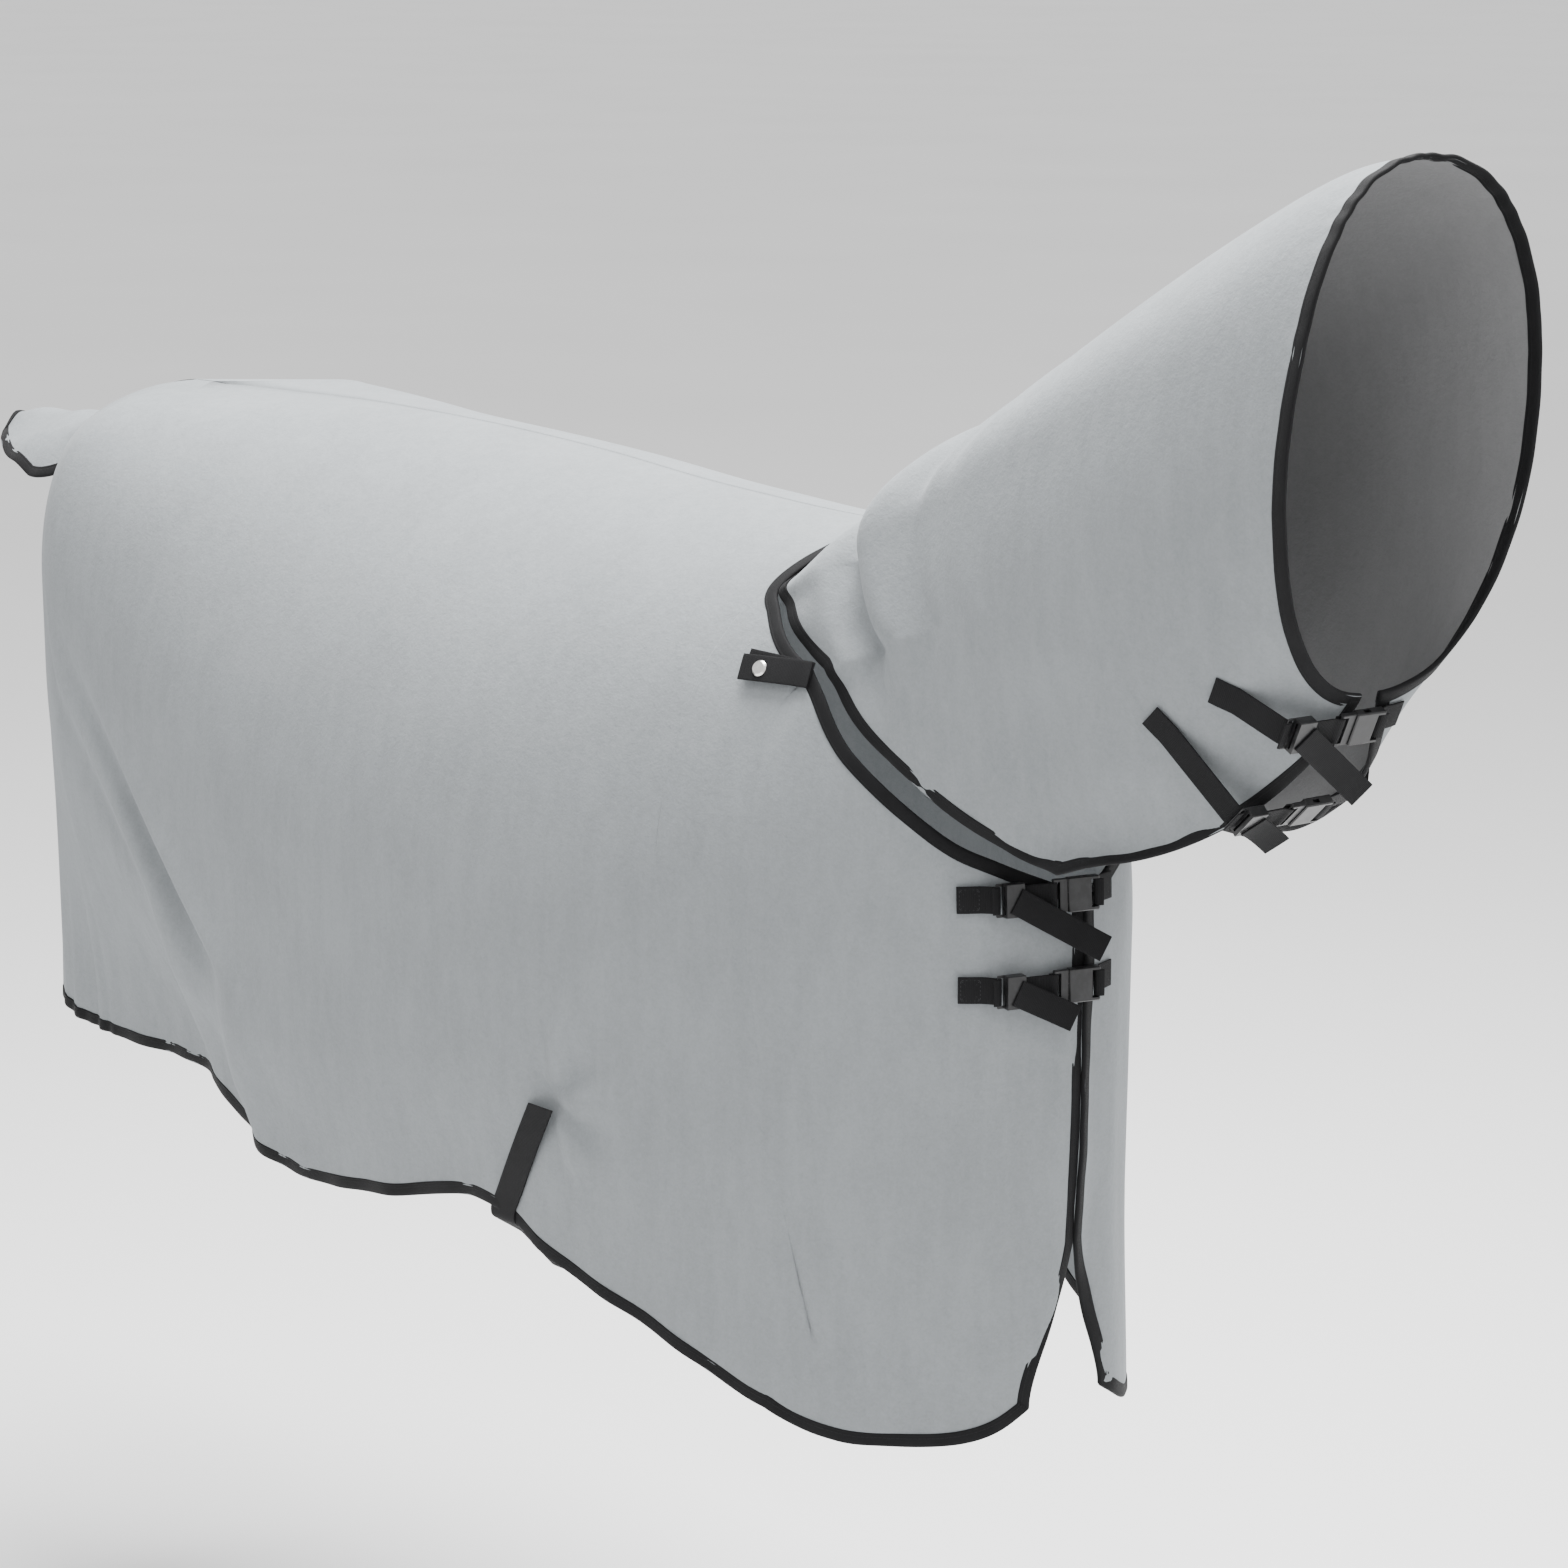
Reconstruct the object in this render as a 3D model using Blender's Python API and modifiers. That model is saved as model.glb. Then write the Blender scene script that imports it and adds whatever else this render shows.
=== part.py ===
"""Combo horse rug: a body sheet with a detachable neck cover, straps, buckles and tabs.

Metres, +Z up. The horse faces +X and its right side is -Y. The origin lies on the spine
at the withers, on the cloth's middle surface.
"""
import math

import bmesh
import bpy
import numpy as np
from mathutils import Matrix, Vector

# ---------------------------------------------------------------- driving dimensions
SHOULDER_X = 0.05          # axis that the chest sections fan around
HAUNCH_X = -1.10           # axis that the rump sections fan around
CLOTH = 0.0030             # thickness of the body cloth
BINDING_WIDTH = 0.012      # visible width of the edge tape
BINDING_THICK = 0.0044     # edge tape folded over the cloth
SEW_GAP = 0.0008           # clearance between sewn neighbours
SEAM_HALF_GAP = 0.0006     # half of the gap along the centre seams
NECK_SEW_GAP = 0.0012       # the same along the curved edge of the neck cover
NOTCH_EXTRA_GAP = 0.0010    # added where the rear edge turns into the spine seam
TAPE_HALF_GAP = 0.0016      # half of the gap between tape ends at the centre plane
CHEST_HALF_GAP = 0.0015    # half of the gap between the two front edges
BARREL_Z = -0.38           # height at which the body is widest
DROP = 0.0                 # extra length of the whole hem, down is positive

WEB_WIDTH = 0.025          # chest and chin webbing
WEB_THICK = 0.0015
SURCINGLE_WIDTH = 0.038    # belly webbing

FACE_TOP = (0.638, 0.366)      # x, z of the face opening's top
FACE_BOTTOM = (0.592, -0.085)  # x, z of the face opening's bottom
FACE_HALF_WIDTH = 0.136
FACE_YAW = 0.12                # the hood hangs turned slightly to the left
THROAT_HALF_GAP = 0.010        # half gap of the throat slit at the face opening

FLAP_ROOT_X = -1.195       # tail flap
FLAP_TIP_X = -1.600
FLAP_HALF_WIDTH = 0.082
FLAP_NECK = 0.046          # half-width where the flap passes under the panels
FLAP_ROOT_Z = 0.0050

STUD_DIAMETER = 0.0155
TAB_LENGTH = 0.078

RUMP_Z = -0.19             # height at which the rump is fullest
NECK_BASE_SHARE = 0.86     # how far round the neckline the neck cover's base follows it
NECK_CLEARANCE = 0.004     # gap between the neck cover's base and the neckline at the withers
NECK_INSET = 0.014         # how far inside the neckline it lies at the shoulder
NECK_CORNER = (0.338, 0.120, -0.268)   # chest corner of the neck cover
NECK_HOLE_CENTRE = (0.13, 0.0, -0.14)

# Sections of the body sheet. Each row: plan station, widest half-width, top height,
# height where the lower part starts to pull in, hem half-width, hem height.
# A plan station below 90 is a fan angle round the shoulder; 90 to 190 is the way along
# the barrel; 190 to 280 is 100 more than a fan angle round the haunch.
SECTIONS = (
    (0.0, 0.200, 0.000, -0.50, 0.186, -0.760),
    (15.0, 0.192, 0.000, -0.50, 0.184, -0.805),
    (30.0, 0.187, 0.000, -0.50, 0.182, -0.832),
    (48.0, 0.180, 0.000, -0.50, 0.180, -0.840),
    (70.0, 0.188, 0.000, -0.50, 0.192, -0.838),
    (90.0, 0.212, 0.000, -0.50, 0.214, -0.816),
    (98.0, 0.240, -0.010, -0.50, 0.240, -0.778),
    (104.0, 0.262, -0.010, -0.50, 0.258, -0.752),
    (113.0, 0.286, -0.006, -0.50, 0.272, -0.714),
    (120.0, 0.296, -0.002, -0.52, 0.270, -0.686),
    (134.0, 0.303, 0.010, -0.55, 0.284, -0.715),
    (150.0, 0.300, 0.018, -0.58, 0.270, -0.736),
    (161.0, 0.294, 0.020, -0.56, 0.252, -0.720),
    (170.0, 0.288, 0.020, -0.49, 0.212, -0.698),
    (190.0, 0.262, 0.014, -0.33, 0.198, -0.698),
    (212.0, 0.238, 0.012, -0.28, 0.208, -0.694),
    (230.0, 0.234, 0.012, -0.26, 0.228, -0.680),
    (280.0, 0.240, 0.012, -0.26, 0.232, -0.670),
)
# The neckline as plan station and girth share, from the chest up to the withers.
NECKLINE = (
    (0.0, 0.450), (24.0, 0.422), (42.0, 0.398), (70.0, 0.338), (84.0, 0.288),
    (91.9, 0.252), (96.1, 0.200), (97.3, 0.162), (93.8, 0.070), (90.5, 0.0),
)
FACE_TOP_POINT = (FACE_TOP[0], 0.0, FACE_TOP[1])
# Crest of the neck cover and the edge of its throat slit, as share, x, y, z.
CREST = (
    (0.0, 0.048, 0.0, 0.000), (0.14, 0.130, 0.0, 0.068), (0.30, 0.240, 0.0, 0.158),
    (0.50, 0.365, 0.0, 0.246), (0.72, 0.490, 0.0, 0.316), (0.88, 0.578, 0.0, 0.354),
    (1.0, *FACE_TOP_POINT),
)
THROAT = (
    (0.0, 0.338, 0.120, -0.268), (0.30, 0.430, 0.088, -0.240), (0.55, 0.505, 0.062, -0.200),
    (0.75, 0.552, 0.040, -0.155), (0.90, 0.578, 0.020, -0.115), (1.0, 0.592, 0.010, -0.085),
)
FAN_STEP = 0.0034          # distance round the shoulder for one unit of plan station
BARREL_STEP = 0.0115       # the same along the barrel
GUIDE_REACH = 0.15         # how far lines run squarely from the neckline before bending
GUIDE_GIRTH = 0.05         # girth share of that guide point behind the withers
GUIDE_TURN = 0.70          # neckline share from which the guide points swing to the spine
CORNER_INSET = 1.3         # the corner at the withers is sharp, so its inset is longer
REAR_STATION = 262.0       # rear edge of each panel
TAIL_NOTCH = 0.030         # girth share at which the spine seam ends
WITHERS_SHARE = 0.30       # share of the sheet's length that belongs to the neckline
FRONT_CORNER_TURN = 15.0   # how far the front edge turns away near the hem
RUMP_SQUARENESS = 0.4      # 1 is a round rump, less is a fuller one

# sliders, buckles and webbing
STRAP_LIFT = 0.0092        # strap centre line above the cloth's middle surface
CLEAR = 0.00045            # clearance round webbing inside a slot
LOOP_BAR = 0.0030          # width of the bar that a webbing loop goes round
LOOP_BAR_THICK = 0.0016
LOOP_RADIUS = 0.00285      # middle line of a loop round that bar
WALL = 0.0030              # side wall of sliders and buckles beyond the webbing
SLIDER_AT = -0.075         # slider centre, along the strap from the closing edge
SLIDER_HALF = 0.0090
MALE_FROM, MALE_TO = -0.0360, -0.0220
PRONG_TO = -0.0050
FEMALE_FROM, FEMALE_TO = -0.0216, 0.0100
FEMALE_HALF_THICK = 0.0045
MALE_HALF_THICK = 0.0025
PRONG_HALF_THICK = 0.0019
GUIDE_HALF = 0.0020
CAVITY_HALF_THICK = 0.0026
CAVITY_TO = -0.0020
SEWN_LENGTH = 0.022        # webbing stitched flat on the cloth
SEWN_LIFT = 0.0028         # its centre line above the cloth's middle surface
CHIN_SEWN_LIFT = 0.0041    # the same on the more curved neck cover
TAIL_LIFT = 0.0060         # loose tail above the strap's centre line
TONGUE_FROM = SLIDER_AT - 0.0160
SLIDER_LOW = -0.0056
SLIDER_TOP = 0.0049
SLIDER_BAR = (TONGUE_FROM + LOOP_BAR / 2.0, SLIDER_LOW + LOOP_BAR_THICK / 2.0)
MALE_BAR = (MALE_FROM + LOOP_BAR / 2.0, 0.0)
FEMALE_BAR = (FEMALE_TO - LOOP_BAR / 2.0, 0.0)

# press tabs
TAB_WIDTH = 0.025
TAB_START = 0.005          # front end of the tab, behind the neckline
TAB_STATION, TAB_GIRTH = 87.0, 0.272
TAB_RISE = 0.0006          # girth share that the tab rises by, per station
LEAF_LOWER = 0.0033        # middle of the sewn leaf above the cloth's middle surface
LEAF_UPPER = 0.0075        # middle of the lifting leaf
LEAF_FRONT = 0.0053        # the lifting leaf comes down at the front
STUD_AT = 0.056            # stud from the tab's front end
STUD_POST = 0.0017
STUD_HOLE = 0.0022
SOCKET_RADIUS = 0.0055

# where the straps are
# name, height or way ahead, angle and length of the loose tail, lift of the far stitching
CHEST_STRAPS = (
    ("chest_upper", -0.318, -31.0, 0.098, 0.0040),
    ("chest_lower", -0.402, -27.0, 0.060, 0.0028),
)
CHIN_STRAPS = (
    ("chin_upper", 0.93, -38.0, 0.100, 0.0050),
    ("chin_lower", 0.62, -32.0, 0.046, 0.0060),
)
CHEST_SEWN_AT = 0.100      # inner end of the sewn webbing, along the cloth
CHEST_FAR_AT = 0.020       # inner end of the far webbing's stitching
CHIN_SEWN_AT = 0.100
CHIN_FAR_AT = 0.002        # the chin's far stitching starts this far inside the edge
CHIN_LIFT = 0.0125         # chin straps stand a little further off than the chest ones
SURCINGLE_LIFT = 0.0060    # belly webbing's middle above the cloth's middle surface
SURCINGLE_STATION = 118.0  # where the belly strap leaves the hem
SURCINGLE_TOP_STATION = 111.5  # where the upper end of its stitching lies
SURCINGLE_Z = -0.566       # upper end of its stitching
BELLY_Z = -0.775           # height of the straight part under the belly
BELLY_REACH = 0.165        # where the belly strap leaves its straight part


def smooth(value):
    """Ease from 0 to 1."""
    value = np.clip(value, 0.0, 1.0)
    return value * value * (3.0 - 2.0 * value)


def spline(x, points):
    """Smooth curve through points of increasing first value; other values interpolate."""
    points = np.asarray(points, float)
    knots = points[:, 0]
    values = points[:, 1:]
    step = np.diff(knots)[:, None]
    slope = np.diff(values, axis=0) / step
    tangent = np.vstack([slope[:1], 0.5 * (slope[:-1] + slope[1:]), slope[-1:]])
    x = np.clip(np.asarray(x, float), knots[0], knots[-1])
    i = np.clip(np.searchsorted(knots, x, side="right") - 1, 0, len(knots) - 2)
    h = step[i, 0]
    t = ((x - knots[i]) / h)[..., None]
    h = h[..., None]
    return ((2 * t**3 - 3 * t**2 + 1) * values[i] + (t**3 - 2 * t**2 + t) * h * tangent[i]
            + (3 * t**2 - 2 * t**3) * values[i + 1] + (t**3 - t**2) * h * tangent[i + 1])


def form_point(station, girth, side):
    """Point of the draped form. girth 0 is the spine, 0.5 the widest, 1 the hem."""
    station = np.asarray(station, float)
    girth = np.asarray(girth, float)
    row = spline(station, SECTIONS)
    wide, top, pull_z, hem_wide, hem_z = np.moveaxis(row, -1, 0)
    hem_z = hem_z - DROP
    along = np.clip((station - 90.0) / 100.0, 0.0, 1.0)
    centre_x = SHOULDER_X + (HAUNCH_X - SHOULDER_X) * along
    turn = np.where(station < 90.0, station, np.where(station < 190.0, 90.0, station - 100.0))
    turn = np.radians(turn)
    upper = np.clip(girth * 2.0, 0.0, 1.0) * math.pi / 2.0
    lower = np.clip(girth * 2.0 - 1.0, 0.0, 1.0)
    rump = smooth((station - 150.0) / 50.0)
    widest_z = BARREL_Z + (RUMP_Z - BARREL_Z) * rump
    round_out = 1.0 + (RUMP_SQUARENESS - 1.0) * rump
    z = np.where(girth < 0.5, widest_z + (top - widest_z) * np.cos(upper),
                 widest_z + (hem_z - widest_z) * lower)
    pull = smooth((pull_z - z) / (pull_z - hem_z))
    reach = np.where(girth < 0.5, wide * np.sin(upper) ** round_out,
                     wide + (hem_wide - wide) * pull)
    x = centre_x + reach * np.cos(turn)
    y = side * reach * np.sin(turn)
    return np.stack([x, y, z], -1)


def neckline(share):
    """Plan station and girth of the neckline. share 0 is the chest, 1 the withers."""
    row = spline(np.clip(share, 0.0, 1.0) * (len(NECKLINE) - 1),
                 [(i, *pair) for i, pair in enumerate(NECKLINE)])
    return row[..., 0], row[..., 1]


def neckline_offset(share, distance):
    """Plan station and girth at a distance behind the neckline, square to it."""
    share = np.asarray(share, float)
    station, girth = neckline(share)
    here = form_point(station, girth, 1)
    ahead = form_point(*neckline(share + 0.004), 1) - form_point(*neckline(share - 0.004), 1)
    per_station = (form_point(station + 0.5, girth, 1) - here) / 0.5
    per_girth = (form_point(station, girth + 0.004, 1) - here) / 0.004
    away = np.cross(np.cross(per_station, per_girth), ahead)
    away /= np.linalg.norm(away, axis=-1, keepdims=True)
    behind = here - np.array(NECK_HOLE_CENTRE)
    away *= np.sign(np.sum(away * behind, -1, keepdims=True))
    square = smooth(share / 0.12)[..., None]
    down = per_girth / np.linalg.norm(per_girth, axis=-1, keepdims=True)
    away = (away * square + down * (1.0 - square)) * distance
    ss = np.sum(per_station * per_station, -1)
    gg = np.sum(per_girth * per_girth, -1)
    sg = np.sum(per_station * per_girth, -1)
    s_away = np.sum(per_station * away, -1)
    g_away = np.sum(per_girth * away, -1)
    scale = ss * gg - sg * sg
    step_s = (s_away * gg - g_away * sg) / scale
    step_g = (g_away * ss - s_away * sg) / scale
    run = run_of(station) + step_s * np.where(station < 90.0, FAN_STEP, BARREL_STEP)
    return station_of(run), np.maximum(girth + step_g, 0.0)


def run_of(station):
    """Rough distance round the form at a plan station."""
    return np.minimum(station, 90.0) * FAN_STEP + np.maximum(station - 90.0, 0.0) * BARREL_STEP


def station_of(run):
    """Plan station at a rough distance round the form."""
    turn = 90.0 * FAN_STEP
    return np.where(run < turn, run / FAN_STEP, 90.0 + (run - turn) / BARREL_STEP)


def sheet_params(along, down, inset=0.0):
    """Plan station and girth in one body panel. along 0 is the front edge, 1 the rear edge.

    Lines down the sheet start inset from the neckline, or at the spine. Round the
    withers they leave the neckline squarely and then bend down to the hem.
    """
    along, down = np.broadcast_arrays(np.asarray(along, float), np.asarray(down, float))
    in_neck = along <= WITHERS_SHARE
    share = np.minimum(along / WITHERS_SHARE, 1.0)
    back = np.clip((along - WITHERS_SHARE) / (1.0 - WITHERS_SHARE), 0.0, 1.0)
    spine = 90.5 + back * 110.0
    over_rump = np.clip((spine - 190.0) / 10.5, 0.0, 1.0)
    neck_station, neck_girth = neckline_offset(share, inset)
    top_station = np.where(in_neck, neck_station, np.where(spine < 190.0, spine, 280.0))
    top_girth = np.where(in_neck, neck_girth, TAIL_NOTCH * over_rump)
    at_withers = share > 0.999
    top_girth = np.where(at_withers, TAIL_NOTCH * over_rump, top_girth)
    top_station = np.where(at_withers & in_neck, station_of(run_of(90.5) + inset * CORNER_INSET),
                           top_station)
    hem_station = spline(along, ((0.0, 0.0), (0.10, 45.0), (0.20, 88.0), (0.27, 100.0),
                                 (WITHERS_SHARE, 107.0), (0.88, 190.0), (1.0, REAR_STATION)))
    hem_station = hem_station[..., 0]
    corner = FRONT_CORNER_TURN * smooth((down - 0.72) / 0.28) * (1.0 - smooth(along / 0.14))
    early = smooth((along - 0.80) / 0.20)
    share_down = down * (1.0 - early) + smooth(down / 0.30) * early
    plain_run = run_of(top_station) + (run_of(hem_station) - run_of(top_station)) * share_down
    plain_girth = top_girth + (1.0 - top_girth) * down
    # bent lines: start, a guide point square to the neckline, then the hem
    ahead_station, ahead_girth = neckline_offset(np.minimum(share, GUIDE_TURN), inset + GUIDE_REACH)
    turned = np.clip((share - GUIDE_TURN) / (1.0 - GUIDE_TURN), 0.0, 1.0)
    fade = smooth((along - WITHERS_SHARE) / 0.14)
    last_run = run_of(90.5) + GUIDE_REACH
    guide_run = np.where(in_neck, run_of(ahead_station) * (1.0 - turned) + last_run * turned,
                         run_of(spine) + GUIDE_REACH * (1.0 - fade))
    guide_girth = np.where(in_neck, ahead_girth * (1.0 - turned) + GUIDE_GIRTH * turned,
                           GUIDE_GIRTH + (0.5 - GUIDE_GIRTH) * fade)
    bent_run = ((1 - down)**2 * run_of(top_station) + 2 * down * (1 - down) * guide_run
                + down**2 * run_of(hem_station))
    bent_girth = (1 - down)**2 * top_girth + 2 * down * (1 - down) * guide_girth + down**2
    bend = np.where(in_neck, smooth(share / 0.45), 1.0 - smooth((along - 0.34) / 0.14))
    station = station_of(bent_run * bend + plain_run * (1.0 - bend)) + corner
    girth = bent_girth * bend + plain_girth * (1.0 - bend)
    return station, girth


def apart(points, side, half_gap=SEAM_HALF_GAP):
    """Keep points on their own side of the centre plane."""
    points[..., 1] = side * np.maximum(side * points[..., 1], half_gap)
    return points


def sheet_point(along, down, side, inset=0.0):
    """Point of one body panel. along 0 is the front edge, 1 the rear edge."""
    return apart(form_point(*sheet_params(along, down, inset), side), side)


def form_normal(station, girth, side):
    """Unit normal of the form, pointing away from the horse."""
    step = 0.5
    here = form_point(station, girth, side)
    ahead = form_point(np.asarray(station) + step, girth, side) - here
    down = form_point(station, np.asarray(girth) + 0.004, side) - here
    normal = np.cross(down, ahead) * side
    return normal / np.linalg.norm(normal, axis=-1, keepdims=True)


def neck_base(around, side):
    """Base edge of the neck cover. around 0 is the crest, 1 the chest corner."""
    around = np.asarray(around, float)
    point = form_point(*neckline(1.0 - around * NECK_BASE_SHARE), side)
    inward = np.array(NECK_HOLE_CENTRE) - point
    inward /= np.linalg.norm(inward, axis=-1, keepdims=True)
    inset = NECK_CLEARANCE + (NECK_INSET - NECK_CLEARANCE) * smooth((around - 0.30) / 0.20)
    point = point + inward * inset[..., None]
    corner = np.array([NECK_CORNER[0], side * NECK_CORNER[1], NECK_CORNER[2]])
    pull = (np.clip((around - 0.62) / 0.38, 0.0, 1.0) ** 2)[..., None]
    return point * (1.0 - pull) + corner * pull


def face_edge(around, side):
    """Edge of the face opening. around 0 is the poll, 1 the throat."""
    around = np.asarray(around, float)
    end = math.pi - math.asin(THROAT_HALF_GAP / FACE_HALF_WIDTH)
    angle = around * end
    share = 0.5 - 0.5 * np.cos(angle)
    x = FACE_TOP[0] + (FACE_BOTTOM[0] - FACE_TOP[0]) * share + 0.02 * np.sin(angle)
    z = FACE_TOP[1] + (FACE_BOTTOM[1] - FACE_TOP[1]) * share
    y = side * FACE_HALF_WIDTH * np.sin(angle) ** 0.85
    return np.stack([x, y, z], -1)


def neck_point(ahead, around, side):
    """Point of one neck panel. ahead 0 is the base, 1 the face; around 0 is the crest."""
    ahead, around = np.broadcast_arrays(np.asarray(ahead, float), np.asarray(around, float))
    base = neck_base(around, side)
    face = face_edge(around, side)
    crest = spline(ahead, CREST)
    throat = spline(ahead, THROAT) * np.array([1.0, side, 1.0])
    corner = [neck_base(0.0, side), neck_base(1.0, side), face_edge(0.0, side), face_edge(1.0, side)]
    s = ahead[..., None]
    q = around[..., None]
    flat = ((1 - s) * (1 - q) * corner[0] + (1 - s) * q * corner[1]
            + s * (1 - q) * corner[2] + s * q * corner[3])
    point = (1 - s) * base + s * face + (1 - q) * crest + q * throat - flat
    point[..., 0] += FACE_YAW * point[..., 1] * ahead**2
    return apart(point, side)


def flap_point(back, across):
    """Point of the tail flap. back 0 is its root, 1 its tip; across runs from -1 to 1."""
    back, across = np.broadcast_arrays(np.asarray(back, float), np.asarray(across, float))
    x = FLAP_ROOT_X + (FLAP_TIP_X - FLAP_ROOT_X) * back
    tip = np.clip((back - 0.62) / 0.38, 0.0, 1.0)
    spread = FLAP_NECK + (FLAP_HALF_WIDTH - FLAP_NECK) * smooth((back - 0.38) / 0.20)
    half = spread * (1.0 - tip**2 * 0.72)
    droop = (0.012 + 0.054 * smooth((back - 0.2) / 0.35)) * (1.0 - tip * 0.75)
    z = FLAP_ROOT_Z - 0.030 * smooth(back / 0.30) - 0.040 * back - droop * across**2
    return np.stack([x, half * across, z], -1)


# ==== build ====
def clear_scene():
    """Remove the objects of the start-up scene."""
    for thing in list(bpy.data.objects):
        bpy.data.objects.remove(thing, do_unlink=True)


def collection(name):
    """A new collection linked to the scene."""
    group = bpy.data.collections.new(name)
    bpy.context.scene.collection.children.link(group)
    return group


def material(name, colour, roughness, metallic=0.0):
    """A Principled material."""
    finish = bpy.data.materials.new(name)
    finish.use_nodes = True
    shader = finish.node_tree.nodes["Principled BSDF"]
    shader.inputs["Base Color"].default_value = (*colour, 1.0)
    shader.inputs["Roughness"].default_value = roughness
    shader.inputs["Metallic"].default_value = metallic
    return finish


FINISHES = {
    "fleece": ((0.40, 0.42, 0.44), 0.95, 0.0),
    "binding": ((0.02, 0.02, 0.022), 0.8, 0.0),
    "webbing": ((0.025, 0.025, 0.028), 0.7, 0.0),
    "plastic": ((0.03, 0.03, 0.033), 0.4, 0.0),
    "stud": ((0.75, 0.75, 0.76), 0.25, 1.0),
}


def add_object(name, mesh, finish, group):
    """Put a mesh in the scene as one named sub-part."""
    thing = bpy.data.objects.new(name, mesh)
    mesh.materials.append(material(name, *FINISHES[finish]))
    group.objects.link(thing)
    return thing


def grid_mesh(name, points):
    """An open quad surface through a grid of points."""
    rows, columns = points.shape[:2]
    mesh_maker = bmesh.new()
    corners = [[mesh_maker.verts.new(points[i, j]) for j in range(columns)] for i in range(rows)]
    for i in range(rows - 1):
        for j in range(columns - 1):
            mesh_maker.faces.new((corners[i][j], corners[i + 1][j],
                                  corners[i + 1][j + 1], corners[i][j + 1]))
    mesh = bpy.data.meshes.new(name)
    mesh_maker.to_mesh(mesh)
    mesh_maker.free()
    mesh.shade_smooth()
    return mesh


def cloth(name, points, thickness, finish, group):
    """A sheet or a tape: an open surface given its thickness about the middle."""
    thing = add_object(name, grid_mesh(name, points), finish, group)
    solid = thing.modifiers.new("thickness", "SOLIDIFY")
    solid.thickness = thickness
    solid.offset = 0.0
    return thing


class Patch:
    """A four-sided cloth surface with tape along chosen edges.

    The first parameter runs along the cloth and the second across it. Distances from an
    edge are turned into parameter steps with the local speed of the surface.
    """

    def __init__(self, surface, side):
        """Keep the surface function and the side of the horse."""
        self.surface = surface
        self.side = side

    def point(self, u, v):
        """Point of the surface, for scalars or arrays."""
        u, v = np.broadcast_arrays(np.asarray(u, float), np.asarray(v, float))
        return self.surface(u, v, self.side)

    def step_u(self, distance, v, end):
        """Parameter step that covers a distance inwards from u = end."""
        probe = 0.01 if end == 0 else -0.01
        gap = self.point(end + probe, v) - self.point(end, v)
        return distance * 0.01 / np.linalg.norm(gap, axis=-1)

    def step_v(self, distance, u, end):
        """Parameter step that covers a distance inwards from v = end."""
        probe = 0.01 if end == 0 else -0.01
        gap = self.point(u, end + probe) - self.point(u, end)
        return distance * 0.01 / np.linalg.norm(gap, axis=-1)


def even(count):
    """Evenly spaced shares from 0 to 1."""
    return np.linspace(0.0, 1.0, count)


MARGIN = BINDING_WIDTH + SEW_GAP     # from a cut edge to the cloth inside its tape


def strip(inner, outer, side=0, gap=SEW_GAP):
    """A tape between the cloth's edge points and the outer edge points beside them.

    Its inner edge keeps a small gap, measured square to the cloth's edge. side keeps it
    on its own side of the centre plane.
    """
    inner = np.array(inner)
    across = np.array(outer) - inner
    run = np.gradient(inner, axis=0)
    run /= np.linalg.norm(run, axis=-1, keepdims=True)
    square = across - run * np.sum(run * across, -1, keepdims=True)
    width = np.maximum(np.linalg.norm(square, axis=-1, keepdims=True), 4.0 * gap)
    band = np.stack([inner + across * gap / width, np.array(outer)], 1)
    return apart(band, side, TAPE_HALF_GAP) if side else band


# --------------------------------------------------------------------- body sheet
def body_layout(side, neck_steps=14, back_steps=26, rows=13):
    """Grid of one half of the body sheet, and its edge points with the tape's outer edge.

    Returns the grid, then the edge pairs round front, hem and rear, then those along the
    neckline.
    """
    patch = Patch(sheet_point, side)
    j = even(rows)[None, :]
    front = patch.step_u(MARGIN + CHEST_HALF_GAP, j, 0)
    rear = patch.step_u(MARGIN, j, 1)
    neck_part = front + (WITHERS_SHARE - front) * even(neck_steps + 1)[:, None]
    back_part = WITHERS_SHARE + (1.0 - rear - WITHERS_SHARE) * even(back_steps + 1)[1:, None]
    u = np.concatenate([neck_part, back_part])
    v = j * (1.0 - patch.step_v(MARGIN, u, 1))
    grid = sheet_point(u, v, side, MARGIN)

    half_gap = float(patch.step_u(CHEST_HALF_GAP, 0.5, 0))
    neck_outer = patch.point(np.minimum(u[:neck_steps + 1, 0], WITHERS_SHARE - 1e-6), 0.0)
    inner = [neck_outer[0], *grid[0, :-1], *grid[:-1, -1], grid[-1, -1]]
    beside = level_share(u[0, 0], v[0, :-1])
    outer = [patch.point(half_gap, 0.0), *patch.point(half_gap, beside)]
    outer += [patch.point(half_gap, 1.0), *patch.point(u[1:-1, -1], 1.0), patch.point(1.0, 1.0)]
    inner += list(grid[-1, 1:-1][::-1])
    outer += list(patch.point(1.0, v[-1, 1:-1])[::-1])
    edge = (np.array(inner), np.array(outer))
    neck = (grid[:neck_steps + 1, 0], neck_outer)
    return grid, edge, neck


def level_share(along, down):
    """Share down the front edge that lies level with the cloth's first line."""
    girth = neckline_offset(along / WITHERS_SHARE, MARGIN)[1]
    top = neckline(0.0)[1]
    return (girth + (1.0 - girth) * down - top) / (1.0 - top)


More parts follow.
